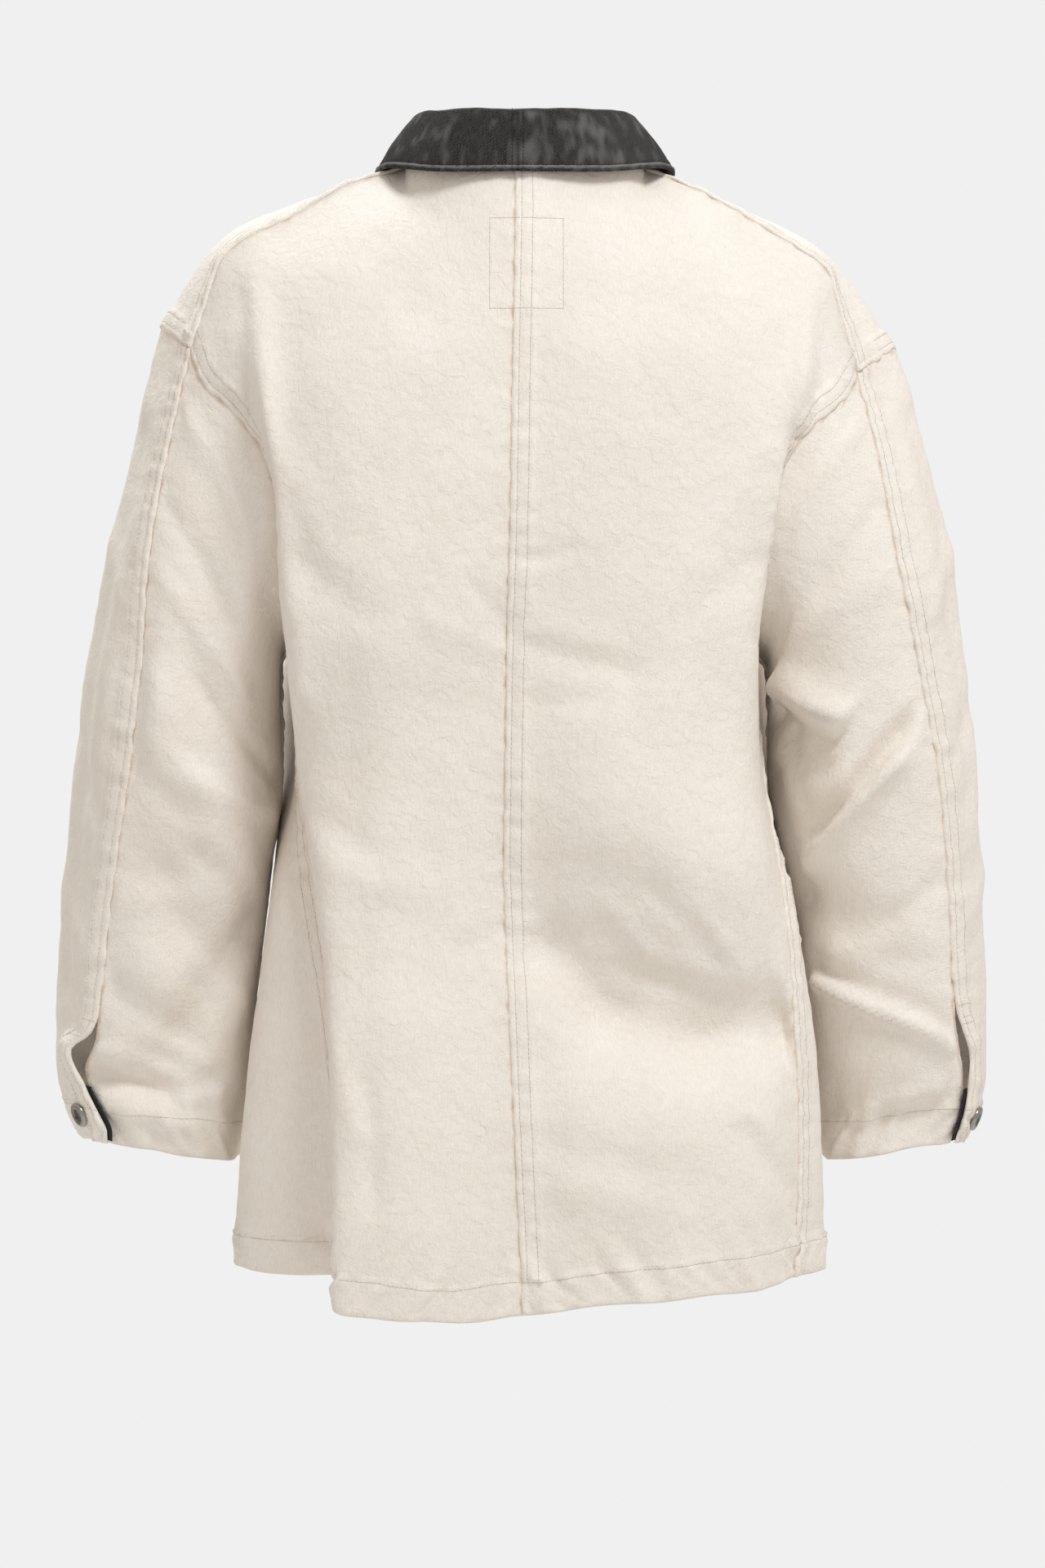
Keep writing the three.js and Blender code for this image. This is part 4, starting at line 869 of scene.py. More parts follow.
# Folds of a sleeve: the ring and the angle at which each starts and ends.
SLEEVE_FOLD_NAMES = "from_f to_f from_a to_a width height"
SLEEVE_FOLDS = {
    "left": table(
        SLEEVE_FOLD_NAMES,
        (0.1, 0.45, 92, 100, 20, -7), (0.15, 0.8, 28, 24, 16, -5), (0.42, 0.6, 80, 130, 26, 6),
        (0.66, 0.78, 95, 125, 24, -6), (0.86, 0.9, 75, 130, 16, 4), (0.45, 0.5, 60, 120, 60, 5),
        (1.02, 1.02, 60, 150, 60, -4), (0.68, 0.86, 150, 104, 18, -8), (0.5, 0.56, 240, 300, 20, -7),
        (0.68, 0.72, 235, 310, 20, -6),
    ),
    "right": table(
        SLEEVE_FOLD_NAMES,
        (0.22, 0.375, 150, 108, 11, 9), (0.27, 0.44, 160, 118, 14, -7.5),
        (0.38, 0.62, 164, 152, 16, -4), (0.42, 0.5, 114, 108, 12, 4), (0.46, 0.535, 76, 132, 11, -7),
        (0.51, 0.575, 84, 140, 12, 6), (0.62, 0.74, 148, 96, 22, -6), (0.724, 0.849, 150, 62, 7, -4),
        (0.748, 0.873, 150, 58, 9, 6), (0.93, 0.96, 146, 70, 26, -8), (0.5, 0.52, 60, 110, 60, 5),
        (1.02, 1.02, 60, 150, 60, -4), (0.12, 0.6, 26, 28, 15, -4), (0.48, 0.55, 240, 300, 20, -7),
        (0.66, 0.7, 235, 310, 20, -6),
    ),
}
# Smaller creases of the sleeves, sharper at the elbow and crumpled above the cuff.
SLEEVE_CREASES = {
    "left": table(
        SLEEVE_FOLD_NAMES,
        (0.775, 0.79, 96, 130, 24, 7), (0.885, 0.895, 88, 128, 20, -9),
        (0.903, 0.915, 68, 104, 9, -5.5), (0.872, 0.885, 66, 112, 8, 3.5),
        (0.94, 0.955, 70, 112, 9, 3.6), (0.925, 0.9, 104, 140, 8, 3), (0.87, 0.88, 58, 74, 8, 2.2),
        (0.845, 0.86, 92, 128, 9, 2.6), (0.80, 0.83, 70, 118, 12, -3), (0.74, 0.77, 112, 150, 11, 3.2),
        (0.7, 0.66, 72, 112, 13, 2.4), (0.6, 0.64, 112, 158, 12, -3.6), (0.5, 0.47, 108, 156, 12, 3.2),
        (0.52, 0.55, 66, 98, 12, -2.4), (0.36, 0.4, 104, 160, 13, -3.4), (0.27, 0.3, 74, 124, 12, 2.6),
        (0.19, 0.23, 66, 110, 10, -2.4), (0.07, 0.12, 62, 100, 9, 2.2), (0.3, 0.34, 12, 44, 12, 2),
        (0.55, 0.6, 8, 42, 12, -2.4), (0.72, 0.76, 6, 40, 12, 2.2), (0.47, 0.5, 235, 290, 10, 3.4),
        (0.6, 0.58, 230, 300, 11, 3), (0.8, 0.84, 240, 320, 12, -3), (0.88, 0.9, 250, 330, 10, 3),
    ),
    "right": table(
        SLEEVE_FOLD_NAMES,
        (0.222, 0.385, 156, 107, 5, 4), (0.25, 0.41, 158, 112, 6, -5.5), (0.32, 0.5, 148, 134, 9, -3),
        (0.47, 0.54, 74, 126, 5, -4), (0.5, 0.56, 80, 130, 5, 3.2), (0.75, 0.876, 148, 60, 5, 3),
        (0.736, 0.861, 148, 62, 4.5, -2.4), (0.92, 0.935, 70, 132, 8, 3.4),
        (0.945, 0.94, 66, 110, 7, -2.8), (0.74, 0.72, 76, 132, 12, 3), (0.68, 0.70, 60, 92, 9, -2.4),
        (0.25, 0.2, 80, 130, 12, 2.6), (0.17, 0.2, 70, 104, 9, -2.4), (0.06, 0.1, 66, 104, 9, 2.2),
        (0.5, 0.47, 88, 60, 10, 2.6), (0.3, 0.34, 12, 44, 12, 2.2), (0.5, 0.54, 8, 42, 12, -2.6),
        (0.7, 0.73, 6, 38, 12, 2.6), (0.46, 0.5, 235, 290, 10, 3.4), (0.6, 0.58, 230, 300, 11, 3),
        (0.8, 0.84, 240, 320, 12, -3), (0.88, 0.9, 250, 330, 10, 3),
    ),
}


def oval(ring, side, angle):
    across = (np.cos(angle) + 1) / 2
    deep = (np.sin(angle) + 1) / 2
    return np.stack([
        SIGN[side] * (ring["inner_x"] + (ring["outer_x"] - ring["inner_x"]) * across),
        ring["front"] + (ring["back"] - ring["front"]) * deep,
        ring["inner_z"] + (ring["outer_z"] - ring["inner_z"]) * across,
    ], -1)


def sleeve_height(folds, degrees, f):
    placed = (
        folds["from_a"] * DEGREE_LENGTH, folds["from_f"] * SLEEVE_LENGTH,
        folds["to_a"] * DEGREE_LENGTH, folds["to_f"] * SLEEVE_LENGTH,
        folds["width"], folds["height"],
    )
    down = (f * SLEEVE_LENGTH)[:, None] + 0 * degrees
    return fold_height(dict(enumerate(placed)), degrees * DEGREE_LENGTH, down)


def sleeve_surface(side, back, u, f):
    """A sleeve piece's middle surface: u runs from its back seam round to the underarm seam."""
    rings = SLEEVE_RINGS[side]
    far_end = rings["under"] - (0 if back else 360)
    shares = weights(rings["f"], f)
    at = {name: (shares @ values)[:, None] for name, values in rings.items()}
    turn = rings["seam"] + u[..., None] * (far_end - rings["seam"])
    every = oval(rings, side, np.radians(turn))
    points = np.einsum("rk,rskd->rsd", shares, every)
    arm = ARM_BACK if back else ARM_FRONT
    start = line(arm[side], "r", 1 - u * (1 - UNDERARM), side)
    points += (start - every[:, :, 0]) * (1 - smooth(f / ARMHOLE_FADE))[:, None, None]
    middle_x = SIGN[side] * (at["outer_x"] + at["inner_x"]) / 2
    middle_y = (at["front"] + at["back"]) / 2
    outward = unit(np.stack([points[..., 0] - middle_x, points[..., 1] - middle_y, np.zeros(u.shape)], -1))
    degrees = (at["seam"] + u * (at["under"] - (0 if back else 360) - at["seam"])) % 360
    height = sleeve_height(SLEEVE_FOLDS[side], degrees, f) * smooth(np.minimum(u, 1 - u) / 0.12)
    height += sleeve_height(SLEEVE_CREASES[side], degrees, f) * smooth(np.minimum(u, 1 - u) / 0.05)
    points += outward * (height * smooth(f / 0.08)[:, None])[..., None]
    vent = (VENT_UNDER if back else VENT)[side]
    low = f > vent["f"][0]
    fade = (1 - smooth(u[low] / VENT_FADE))[..., None]
    opened = weights(vent["f"], f[low])
    turned = -SIGN[side] if back else SIGN[side]
    sideways = np.stack([-turned * outward[..., 1], turned * outward[..., 0], 0 * u], -1)
    if not back:
        points[low] += outward[low] * (opened @ vent["out"])[:, None, None] * fade
    points[low] += sideways[low] * (opened @ vent["over"])[:, None, None] * fade
    return points


CUFF_HEM = 26.0
SLEEVE_CRUMPLES = (0.9, 0.5, 0.28)
CUFF_WANDER = (2.4, 30, 6)
BODY_SHARE = 0.25
BODY_CLEARANCE = 2.0
TACK_PLACES = {"left": (0.834, 0.8365, 0.854, 0.8565), "right": (0.826, 0.8285, 0.846, 0.8485)}
SLEEVE_F = np.concatenate([
    np.linspace(0, 1 - HEM_STATIONS[-1] / SLEEVE_LENGTH, 138),
    1 - HEM_STATIONS[-2::-1] / SLEEVE_LENGTH,
])
for side in ("left", "right"):
    for back in (True, False):
        def surface(s, f):
            return sleeve_surface(side, back, s, f)
        shares = stations(row_widths(surface, SLEEVE_F), near=EDGE_STATIONS, far=EDGE_STATIONS)
        points = surface(shares, SLEEVE_F)
        seam_gap, seam_run = from_edge(points, "first")
        under_gap, under_run = from_edge(points, "last")
        cuff_gap, cuff_run = from_edge(points, "top")
        top_gap, top_run = from_edge(points, "bottom")
        rings = SLEEVE_RINGS[side]
        share = weights(rings["f"], SLEEVE_F)
        inner_x = (share @ rings["inner_x"])[:, None]
        outer_x = (share @ rings["outer_x"])[:, None]
        by_body = 1 - smooth((SIGN[side] * points[..., 0] - inner_x) / (outer_x - inner_x) / BODY_SHARE)
        points[..., 0] += SIGN[side] * BODY_CLEARANCE * by_body * smooth(SLEEVE_F / 0.1)[:, None]
        swell = crumples(points, SLEEVE_CRUMPLES) * (1 - 2 * by_body)
        relief = hem_edge(cuff_gap, cuff_run, 44, CUFF_HEM) + lower_edge(top_gap, top_run, 46)
        towards_seam = -unit(np.gradient(points, axis=1))
        if back:
            relief += lower_edge(seam_gap, seam_run, 50) + lower_edge(under_gap, under_run, 52)
            shifted = points.copy()
        else:
            closed = (SLEEVE_F < VENT[side]["f"][0])[:, None]
            lap, over = upper_edge(seam_gap, seam_run, 50)
            underarm_lap, underarm_over = upper_edge(under_gap, under_run, 54)
            relief += lap + underarm_lap
            shifted = points + towards_seam * (over * closed - underarm_over)[..., None]
        shifted[..., 2] += hem_wander(points, cuff_gap, *CUFF_WANDER)
        worn = 0.4 * np.exp(-cuff_gap / 1.5)
        # Painted shade in the steps beside the sleeve seams.
        painted_seam_shade = painted_lap_shade(top_gap, top_run, 47)
        if back:
            painted_seam_shade += painted_lap_shade(seam_gap, seam_run, 53) + painted_lap_shade(under_gap, under_run, 57)
        axis_x = SIGN[side] * (outer_x + inner_x)[:, 0] / 2
        axis_y = share @ (rings["front"] + rings["back"]) / 2
        axis = np.stack([axis_x, axis_y, points.mean(axis=1)[:, 2]], -1)[:, None]
        kind = "back" if back else "front"
        name = "sleeve_" + kind + "_" + side
        made = make_cloth(name + "_cloth", shifted, axis, CLOTH, swell, relief, worn, painted_seam_shade)
        piece, outer, normal = made
        finish_cloth(piece, ecru_twill, name)
        if not back:
            for row in FELL_ROWS:
                stitch_rows.append(seam_line(outer, normal, seam_gap, row))
                stitch_rows.append(seam_line(outer, normal, under_gap, row, first=False))
            for place in TACK_PLACES[side]:
                tack = int(np.argmax(SLEEVE_F > place))
                box_rows.append(across_band(outer, normal, seam_gap, tack, 0.6, FELL_ROWS[1]))
        stitch_rows.append(edge_line(outer, normal, cuff_gap, CUFF_HEM - HEM_STITCH, first=False))

# THE COLLAR: a pointed collar of charcoal washed twill, two layers turned and pressed, folded
# over itself. Its halves are joined at the centre back, and it is sewn to the neck seam.

COLLAR_CLOTH = 2.4
SEAM_GAP = 0.3
COLLAR_FOLD = table(
    "u out y z",
    (0, 0, 65, 32), (0.22, 44, 53, 34), (0.44, 72, 10, 35), (0.62, 67, -28, 16), (0.82, 38, -62, -22),
    (1, 0, -78, -45),
)
COLLAR_EDGE = table(
    "u out y z",
    (0, 0, 79.5, -8.5), (0.22, 54, 68.5, -7), (0.44, 95.5, 14, 2), (0.62, 96, -30, -7),
    (0.82, 85, -82, -59), (1, 60, -112, -104),
)
COLLAR_ROLL = 3.4
COLLAR_STAND_IN = 1.5
COLLAR_FALL_OUT = 2.5
COLLAR_FRONT_GAP = 5
COLLAR_FRONT_SHARE = 0.25
COLLAR_SIDE = 0.44
COLLAR_STITCH = 3.7
COLLAR_SEAM_STITCH = 3.4


def collar_surface(side, u, v):
    """One half of the collar: u from the centre back to the front, v up the stand and down again."""
    behind = u <= COLLAR_SIDE
    seam = np.where(
        behind[..., None],
        neck(side, centre_back([1.0])[0], np.minimum(u / COLLAR_SIDE, 1)),
        neck(side, centre_front([1.0])[0], np.minimum((1 - u) / (1 - COLLAR_SIDE), 1)),
    )
    shift = CENTRE_BACK["out"][-1] * (1 - smooth(u / COLLAR_SIDE))
    fold = line(COLLAR_FOLD, "u", u, side)
    edge = line(COLLAR_EDGE, "u", u, side)
    fold[..., 0] += shift
    edge[..., 0] += shift
    out = unit((edge - seam) * (1, 1, 0))
    up = np.array([0, 0, 1.0])
    base = seam + up * (COLLAR_CLOTH / 2 + CLOTH / 2 + 2 * SEAM_GAP)
    knots = np.stack([
        base,
        (base + fold) / 2 - out * COLLAR_STAND_IN,
        fold - (out + up) * COLLAR_ROLL,
        fold,
        fold + (out - up) * COLLAR_ROLL,
        fold + (edge - fold) * 0.55 + out * COLLAR_FALL_OUT,
        edge,
    ])
    shares = weights(np.array([0, 0.2, 0.4, 0.5, 0.6, 0.8, 1]), v)
    points = np.einsum("rsk,krsd->rsd", shares, knots)
    spread = COLLAR_FRONT_GAP * smooth((u - 1 + COLLAR_FRONT_SHARE) / COLLAR_FRONT_SHARE)
    points[..., 0] += SIGN[side] * spread
    return points


# The dark twill's last colour is the painted shade along the collar's centre seam.
dark_twill = twill_material(
    "dark twill", light=(0.066, 0.062, 0.06, 1), dark=(0.003, 0.0028, 0.0027, 1),
    worn_colour=(0.2, 0.186, 0.178, 1), seam_shade_colour=(0.4, 0.4, 0.4, 1),
    ribs=(520, -640, 0), rib_share=0.55, height=0.00015, rough=0.95, sheen=0.0,
)
COLLAR_U = np.concatenate([
    np.array([0, 0.7, 1.5, 2.3, 3.3, 4.5, 6, 8]) / 250, np.linspace(10 / 250, 1, 96),
])
COLLAR_V = np.concatenate([
    np.linspace(0, 0.36, 16)[:-1], np.linspace(0.36, 0.64, 25)[:-1], np.linspace(0.64, 0.9, 16),
    1 - np.array([6, 4.9, 4.2, 3.7, 3.2, 2.6, 2.0, 1.3, 0.6, 0]) / 90,
])
dark_rows = []
for side in ("left", "right"):
    u = np.tile(COLLAR_U, (len(COLLAR_V), 1))
    v = np.tile(COLLAR_V[:, None], (1, len(COLLAR_U)))
    points = collar_surface(side, u, v)
    middle_gap, middle_run = from_edge(points, "first")
    tip_gap, tip_run = from_edge(points, "last")
    edge_gap, edge_run = from_edge(points, "top")
    edge_gap = np.where(v > 0.5, edge_gap, 50)
    leaf = smooth((v - 0.5) / 0.1)
    swell = (0.9 * crumple(points, 30, 7) + 0.4 * crumple(points, 11, 8)) * smooth(v / 0.2)
    ridge = 0.7 * np.exp(-((edge_gap - 2.0) / 1.1) ** 2) * (1 + 0.3 * ripple(edge_run, 9, 71))
    groove = stitch_groove(edge_gap, (COLLAR_STITCH,)) + stitch_groove(tip_gap, (COLLAR_STITCH,))
    drag = 0.35 * ripple(edge_run + 0.5 * edge_gap, 6, 72) * (1 - smooth(edge_gap / 14)) * leaf
    seam_groove = stitch_groove(middle_gap, (COLLAR_SEAM_STITCH,))
    seam_relief = (-0.6 * (1 - smooth(middle_gap / 1.2)) + seam_groove) * leaf
    seam_relief += 0.3 * ripple(middle_run, 7, 73) * (1 - smooth(middle_gap / 8)) * leaf
    relief = ridge + groove + drag + seam_relief
    rub = np.exp(-((edge_gap - 2.2) / 0.9) ** 2) * (1.0 + 0.5 * ripple(edge_run + edge_gap, 3.5, 74))
    fold_rub = np.exp(-((v - 0.5) / 0.035) ** 2) * (0.3 + 0.3 * ripple(edge_run, 14, 75))
    streaks = 1.4 * crumple(points * (1, 1, 0.25), 5, 11)
    scuffs = np.clip(streaks + 0.8 * crumple(points, 24, 12) - 0.05, 0, 1)
    # The collar is also made lighter towards its right-hand end, at minus x.
    scuffs = np.clip(scuffs + 0.14 * smooth((-points[..., 0] - 20) / 40), 0, 1)
    worn = rub + fold_rub + 0.5 * scuffs * leaf + 0.6 * np.exp(-((tip_gap - 1) / 1.3) ** 2) * leaf
    fall = collar_surface(side, u, 0 * v + 1.0)
    stand = collar_surface(side, u, 0 * v)
    between = (fall + 2 * stand) / 3
    # Painted shade along the collar's centre seam.
    painted_seam_shade = 0.7 * np.exp(-(middle_gap / 1.2) ** 2) * leaf
    name = "collar_" + side
    made = make_cloth(name + "_cloth", points, between, COLLAR_CLOTH, swell, relief, worn, painted_seam_shade)
    piece, outer, normal = made
    finish_cloth(piece, dark_twill, name)
    on_leaf = COLLAR_V > 0.5
    dark_rows.append(edge_line(outer, normal, edge_gap, COLLAR_STITCH, first=False))
    dark_rows.append(seam_line(outer, normal, middle_gap, COLLAR_SEAM_STITCH, keep=on_leaf))
    dark_rows.append(seam_line(outer, normal, tip_gap, COLLAR_STITCH, first=False, keep=on_leaf))

# THE CUFF FACINGS: a narrow strip of the collar's twill behind the lapping edge of each vent.

FACING = {"thick": 1.0, "wide": 9, "proud": 3, "hem": 0.004, "top": 0.075}
CUFF_WIDTH = 190
CUFF_MIDDLE = 240
for side in ("left", "right"):
    across = np.linspace(-FACING["proud"], FACING["wide"], 13)
    down = np.linspace(1 - FACING["hem"], 1 - FACING["top"], 26)
    shares = np.tile(np.maximum(across, 0) / CUFF_WIDTH, (len(down), 1))
    lap = sleeve_surface(side, False, shares, down)
    first = sleeve_surface(side, False, np.tile([0.0, 0.05], (len(down), 1)), down)
    tangent = unit(first[:, 1] - first[:, 0])
    lap += tangent[:, None] * np.minimum(across, 0)[None, :, None]
    inside = np.array([SIGN[side] * CUFF_MIDDLE, 0, lap[0, 0, 2]])
    normal, _ = surface_normals(lap, inside)
    lap -= normal * (CLOTH / 2 + 2 * SEAM_GAP + FACING["thick"] / 2)
    zero = np.zeros(lap.shape[:2])
    swell = 0.25 * crumple(lap, 9, 9)
    name = "facing_" + side
    piece, outer, normal = make_cloth(name + "_cloth", lap, inside, FACING["thick"], swell, zero, zero, zero)
    finish_cloth(piece, dark_twill, name)

# THE BUTTONS: seven sewn metal buttons of antiqued dark nickel, plain rings round a sunk middle.

BUTTON_PROFILE = [
    (0, 0), (7.6, 0), (8.2, 0.25), (8.5, 0.9), (8.5, 1.5), (8.2, 2.2), (7.6, 2.75), (6.8, 3.0),
    (5.8, 2.95), (5.1, 2.8), (4.5, 2.55), (4.2, 2.1), (4.0, 1.7), (3.6, 1.45), (2.4, 1.35),
    (0.9, 1.45), (0, 1.5),
]
BUTTON_SEAT = 0.3
CUFF_SEAT = 1.0
BUTTON_SIDES = 48
CUFF_BUTTON = (0.075, 0.965)

dark_metal, tree, shader = new_material("antiqued nickel")
shader.inputs["Metallic"].default_value = 0.92
spot = add_node(tree, "ShaderNodeTexCoord").outputs["Object"]
patina = noise_node(tree, spot, 420.0, 5.0)
patch = ramp(tree, patina, 0.35, 0.68)
edge = add_node(tree, "ShaderNodeNewGeometry").outputs["Pointiness"]
rubbed = ramp(tree, edge, 0.5, 0.56)
tone = mixed(tree, patch, (0.055, 0.048, 0.042, 1), (0.17, 0.155, 0.14, 1))
tone = mixed(tree, rubbed, tone, (0.42, 0.39, 0.35, 1))
tree.links.new(tone, shader.inputs["Base Color"])
tree.links.new(ramp(tree, patina, 0.2, 1.6), shader.inputs["Roughness"])
dents = noise_node(tree, spot, 900.0, 3.0)
bump = add_node(tree, "ShaderNodeBump", {"Height": dents, "Strength": 0.5, "Distance": 0.0002})
tree.links.new(bump.outputs[0], shader.inputs["Normal"])


def add_button(name, node, place, outward):
    work = bmesh.new()
    profile = [work.verts.new((x * MM, 0, z * MM)) for x, z in BUTTON_PROFILE]
    edges = [work.edges.new(pair) for pair in zip(profile, profile[1:])]
    whole = {"axis": (0, 0, 1), "cent": (0, 0, 0), "steps": BUTTON_SIDES, "angle": 2 * math.pi}
    bmesh.ops.spin(work, geom=profile + edges, **whole)
    bmesh.ops.remove_doubles(work, verts=work.verts, dist=0.00002)
    bmesh.ops.recalc_face_normals(work, faces=work.faces)
    turn = Vector((0, 0, 1)).rotation_difference(Vector(outward)).to_matrix().to_4x4()
    turn.translation = Vector(place) * MM
    bmesh.ops.transform(work, matrix=turn, verts=work.verts)
    mesh = bpy.data.meshes.new(name)
    work.to_mesh(mesh)
    work.free()
    mesh.shade_smooth()
    mesh.materials.append(dark_metal)
    piece = add_object(name, mesh)
    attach(piece, "root")
    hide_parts(node)


def outward_at(surface, a, b, inside):
    step = 0.004
    a_grid = np.array([[a, a + step], [a, a + step]])
    patch = surface(a_grid, np.array([b, b - step]))
    normal = unit(np.cross(patch[0, 1] - patch[0, 0], patch[1, 0] - patch[0, 0]))
    return patch[0, 0], normal * np.sign(normal @ (patch[0, 0] - inside))


for number, row in enumerate(FRONT_BUTTONS, 1):
    inside = centre_front([row])[0] * (0, 0, 1)
    place, outward = outward_at(lambda s, r: front_surface("left", s, r), 0.0, row, inside)
    name = "button_front_" + str(number)
    add_button(name + "_metal", name, place + outward * (CLOTH / 2 + BUTTON_SEAT), outward)
for side in ("left", "right"):
    inside = np.array([SIGN[side] * CUFF_MIDDLE, 0, -640])
    place, outward = outward_at(lambda u, f: sleeve_surface(side, False, u, f), *CUFF_BUTTON, inside)
    name = "button_cuff_" + side
    add_button(name + "_metal", name, place + outward * (CLOTH / 2 + BUTTON_SEAT + CUFF_SEAT), outward)

# THE STITCHING: every felled seam and hem is sewn with ecru cotton thread and the collar with a
# dark one. Each stitch lies on the cloth between the two small holes its needle made; the holes
# are small dark dots of painted shade.

stitch_tree = bpy.data.node_groups.new("row of stitches", "GeometryNodeTree")
for title, kind in (
    ("Seams", "NodeSocketGeometry"), ("Half pitch", "NodeSocketFloat"), ("Phase", "NodeSocketInt"),
    ("Long", "NodeSocketFloat"), ("Thick", "NodeSocketFloat"), ("Slant", "NodeSocketFloat"),
    ("Seed", "NodeSocketInt"), ("Thread", "NodeSocketMaterial"),
):
    stitch_tree.interface.new_socket(title, in_out="INPUT", socket_type=kind)
stitch_tree.interface.new_socket("Stitches", in_out="OUTPUT", socket_type="NodeSocketGeometry")
given = stitch_tree.nodes.new("NodeGroupInput").outputs
result = stitch_tree.nodes.new("NodeGroupOutput").inputs
curve = add_node(stitch_tree, "GeometryNodeMeshToCurve", {"Mesh": given["Seams"]})
lengths = {"Curve": curve.outputs[0], "Length": given["Half pitch"]}
even = add_node(stitch_tree, "GeometryNodeResampleCurve", lengths, mode="LENGTH")
index = add_node(stitch_tree, "GeometryNodeInputIndex").outputs[0]
turn = math_node(stitch_tree, "MODULO", index, 2.0)
chosen = add_node(stitch_tree, "FunctionNodeCompare", data_type="INT", operation="EQUAL")
stitch_tree.links.new(turn, chosen.inputs[2])
stitch_tree.links.new(given["Phase"], chosen.inputs[3])
tangent = add_node(stitch_tree, "GeometryNodeInputTangent").outputs[0]
lean = add_node(stitch_tree, "FunctionNodeRandomValue", {"Seed": given["Seed"]}, data_type="FLOAT_VECTOR")
lean.inputs[0].default_value = (-0.5, -0.5, -0.5)
lean.inputs[1].default_value = (0.5, 0.5, 0.5)
slanted = add_node(stitch_tree, "ShaderNodeVectorMath", {0: lean.outputs[0]}, operation="SCALE")
stitch_tree.links.new(given["Slant"], slanted.inputs["Scale"])
course = add_node(stitch_tree, "ShaderNodeVectorMath", {0: tangent, 1: slanted.outputs[0]}, operation="ADD")
aligned = add_node(stitch_tree, "FunctionNodeAlignRotationToVector", {"Vector": course.outputs[0]}, axis="X")
capsule = add_node(stitch_tree, "GeometryNodeMeshUVSphere", {"Segments": 6, "Rings": 4, "Radius": 0.5})
sizes = {"X": given["Long"], "Y": given["Thick"], "Z": given["Thick"]}
sizes = add_node(stitch_tree, "ShaderNodeCombineXYZ", sizes)
placed = add_node(stitch_tree, "GeometryNodeInstanceOnPoints", {
    "Points": even.outputs[0], "Selection": chosen.outputs[0], "Instance": capsule.outputs[0],
    "Rotation": aligned.outputs[0], "Scale": sizes.outputs[0],
})
real = add_node(stitch_tree, "GeometryNodeRealizeInstances", {"Geometry": placed.outputs[0]})
finish = {"Geometry": real.outputs[0], "Material": given["Thread"]}
coloured = add_node(stitch_tree, "GeometryNodeSetMaterial", finish)
stitch_tree.links.new(coloured.outputs[0], result["Stitches"])


def plain_material(name, colour, rough):
    material, tree, shader = new_material(name)
    spot = add_node(tree, "ShaderNodeTexCoord").outputs["Object"]
    twist = noise_node(tree, spot, 1400.0, 2.0)
    dim = tuple(c * 0.72 for c in colour[:3]) + (1,)
    shade = mixed(tree, ramp(tree, twist, 0.3, 0.7), dim, colour)
    tree.links.new(shade, shader.inputs["Base Color"])
    shader.inputs["Roughness"].default_value = rough
    shader.inputs["Specular IOR Level"].default_value = 0.2
    return material


ecru_thread = plain_material("ecru thread", (0.80, 0.72, 0.62, 1), 0.7)
dark_thread = plain_material("dark thread", (0.02, 0.019, 0.018, 1), 0.7)
# Painted shade: a small dark dot at every needle hole of the ecru seams and tacks.
painted_hole_shade = plain_material("painted needle hole shade", (0.46, 0.37, 0.29, 1), 1.0)
STITCH = {"Half pitch": 0.0015, "Phase": 0, "Long": 0.0024, "Thick": 0.00046, "Slant": 0.16, "Seed": 3}
HOLE_SHADE_DOT = {"Half pitch": 0.0015, "Phase": 1, "Long": 0.0006, "Thick": 0.0005, "Slant": 0.0, "Seed": 3}


def sew(name, rows, sizes, material, sink):
    """A mesh of stitches along rows, each a pair of places and outward directions."""
    places = []
    edges = []
    for row, up in rows:
        first = len(places)
        places.extend((row + up * sink).tolist())
        edges.extend((first + k, first + k + 1) for k in range(len(row) - 1))
    paths = bpy.data.meshes.new(name)
    paths.from_pydata((np.array(places) * MM).tolist(), edges, [])
    piece = add_object(name, paths)
    modifier = piece.modifiers.new("stitches", "NODES")
    modifier.node_group = stitch_tree
    sockets = {item.name: item.identifier for item in stitch_tree.interface.items_tree}
    for title, value in sizes.items():
        modifier[sockets[title]] = value
    modifier[sockets["Thread"]] = material
    evaluated = piece.evaluated_get(bpy.context.evaluated_depsgraph_get())
    mesh = bpy.data.meshes.new_from_object(evaluated)
    piece.modifiers.remove(modifier)
    piece.data = mesh
    mesh.name = name
    mesh.shade_smooth()
    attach(piece, "root")


sew("body_stitches", stitch_rows, STITCH, ecru_thread, 0.08)
sew("body_hole_shade_dots", stitch_rows, HOLE_SHADE_DOT, painted_hole_shade, 0.0)
BOX_STITCH = STITCH | {"Half pitch": 0.0008, "Long": 0.0015}
sew("tack_stitches", box_rows, BOX_STITCH, ecru_thread, 0.12)
sew("tack_hole_shade_dots", box_rows, HOLE_SHADE_DOT, painted_hole_shade, 0.02)
DARK_STITCH = STITCH | {"Half pitch": 0.00125, "Long": 0.002}
sew("collar_stitches", dark_rows, DARK_STITCH, dark_thread, 0.1)

# THE STUDIO: a pale floor far below the worn jacket, an even white room and a soft lamp high on
# each side, one behind the jacket and one in front of it.

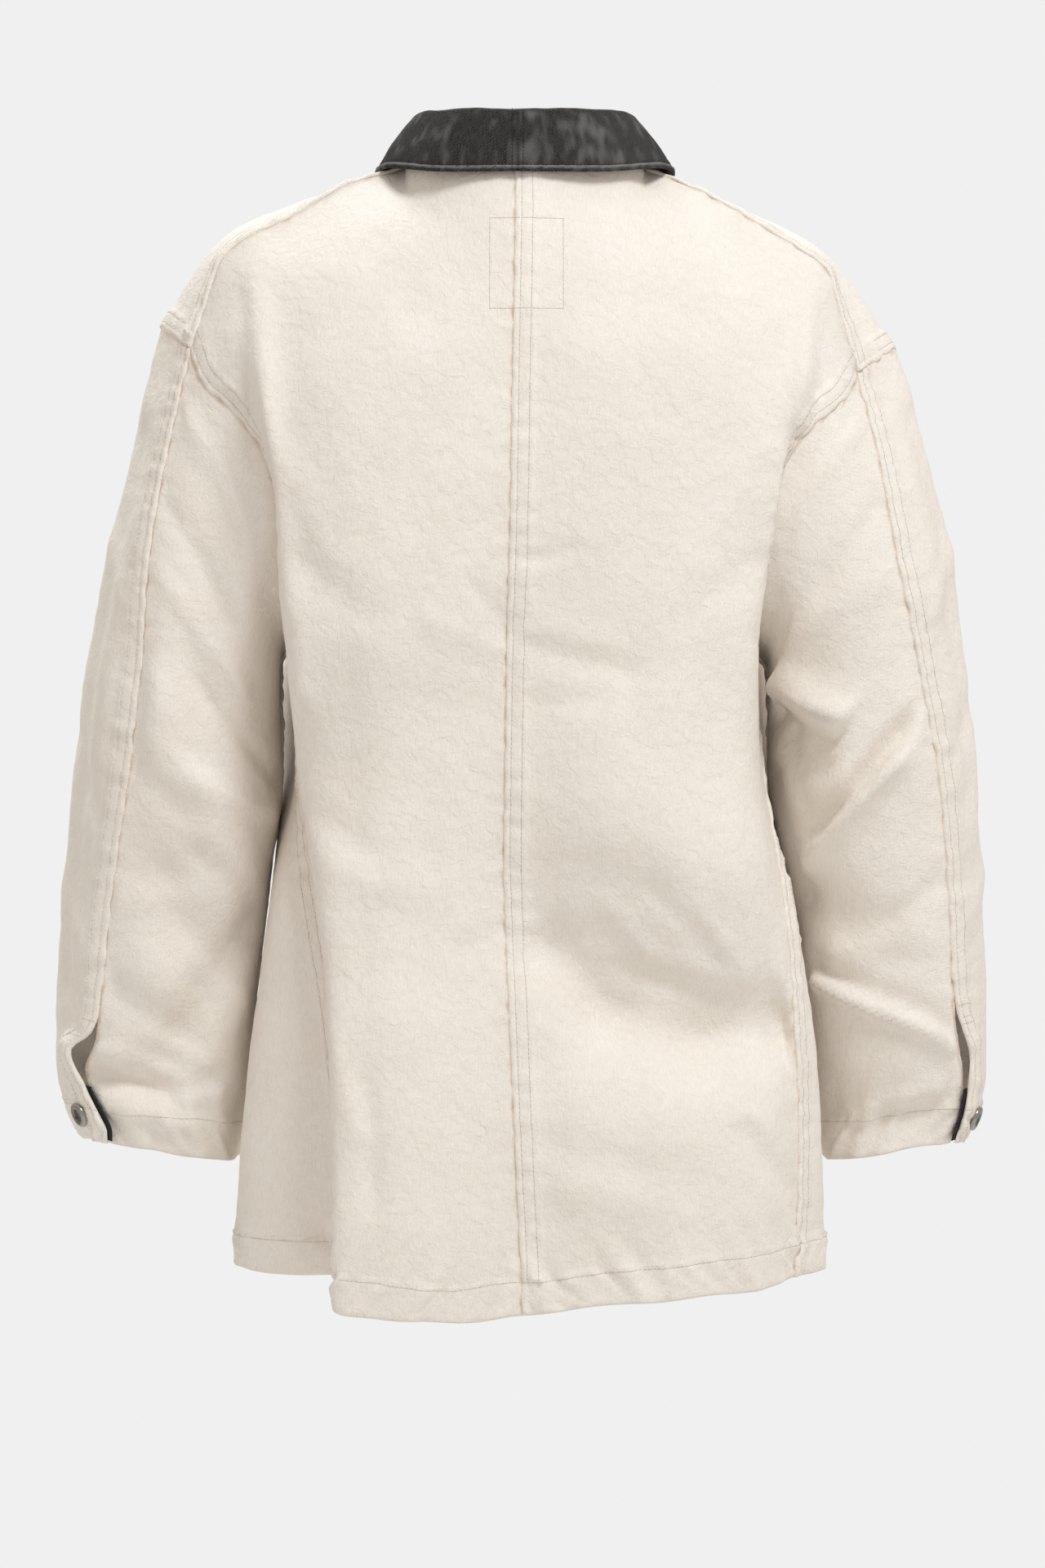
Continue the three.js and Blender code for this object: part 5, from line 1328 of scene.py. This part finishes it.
FLOOR_DEPTH = -1.45
FLOOR_RADIUS = 2.5
floor_mesh = bpy.data.meshes.new("studio_floor")
ring = [
    (FLOOR_RADIUS * math.cos(t), FLOOR_RADIUS * math.sin(t), FLOOR_DEPTH)
    for t in np.linspace(0, 2 * math.pi, 97)[:-1]
]
floor_mesh.from_pydata(ring, [], [list(range(len(ring)))])
floor = add_object("studio_floor", floor_mesh)
floor_paint, _, floor_shader = new_material("pale floor")
floor_shader.inputs["Base Color"].default_value = (0.8, 0.8, 0.79, 1)
floor_shader.inputs["Roughness"].default_value = 0.9
floor_mesh.materials.append(floor_paint)

world = bpy.data.worlds.new("white room")
world.use_nodes = True
room = world.node_tree.nodes["Background"]
room.inputs["Color"].default_value = (1.0, 0.955, 0.905, 1)
room.inputs["Strength"].default_value = 0.65
backdrop = {"Color": (0.871, 0.871, 0.871, 1), "Strength": 1.0}
seen = add_node(world.node_tree, "ShaderNodeBackground", backdrop)
ray = add_node(world.node_tree, "ShaderNodeLightPath").outputs["Is Camera Ray"]
either = add_node(world.node_tree, "ShaderNodeMixShader", {0: ray, 1: room.outputs[0], 2: seen.outputs[0]})
world.node_tree.links.new(either.outputs[0], world.node_tree.nodes["World Output"].inputs["Surface"])
bpy.context.scene.world = world


LAMP_AIM = (0, 0, -0.4)
LAMP_SIZE = 1.2
LAMP_POWER = 82
LAMP_COLOUR = (0.88, 0.95, 1.0)


def add_light(name, place):
    lamp = bpy.data.lights.new(name, "AREA")
    lamp.shape = "DISK"
    lamp.size = LAMP_SIZE
    lamp.energy = LAMP_POWER
    lamp.color = LAMP_COLOUR
    lamp_object = add_object(name, lamp)
    lamp_object.location = place
    lamp_object.rotation_euler = (Vector(place) - Vector(LAMP_AIM)).to_track_quat("Z", "Y").to_euler()


add_light("key", (-1.2, 2.0, 2.6))
add_light("key from the front", (1.2, -2.0, 2.6))

CAMERA_FAR = 2.6
HALF_FRAME = 0.5184
camera = bpy.data.cameras.new("camera")
camera.sensor_fit = "VERTICAL"
camera.angle = 2 * math.atan(HALF_FRAME / CAMERA_FAR)
camera_object = add_object("camera", camera)
camera_object.location = (0.0016, CAMERA_FAR, -0.402)
camera_object.rotation_euler = (math.pi / 2, 0, math.pi)
bpy.context.scene.camera = camera_object
bpy.context.scene.view_settings.view_transform = "Standard"
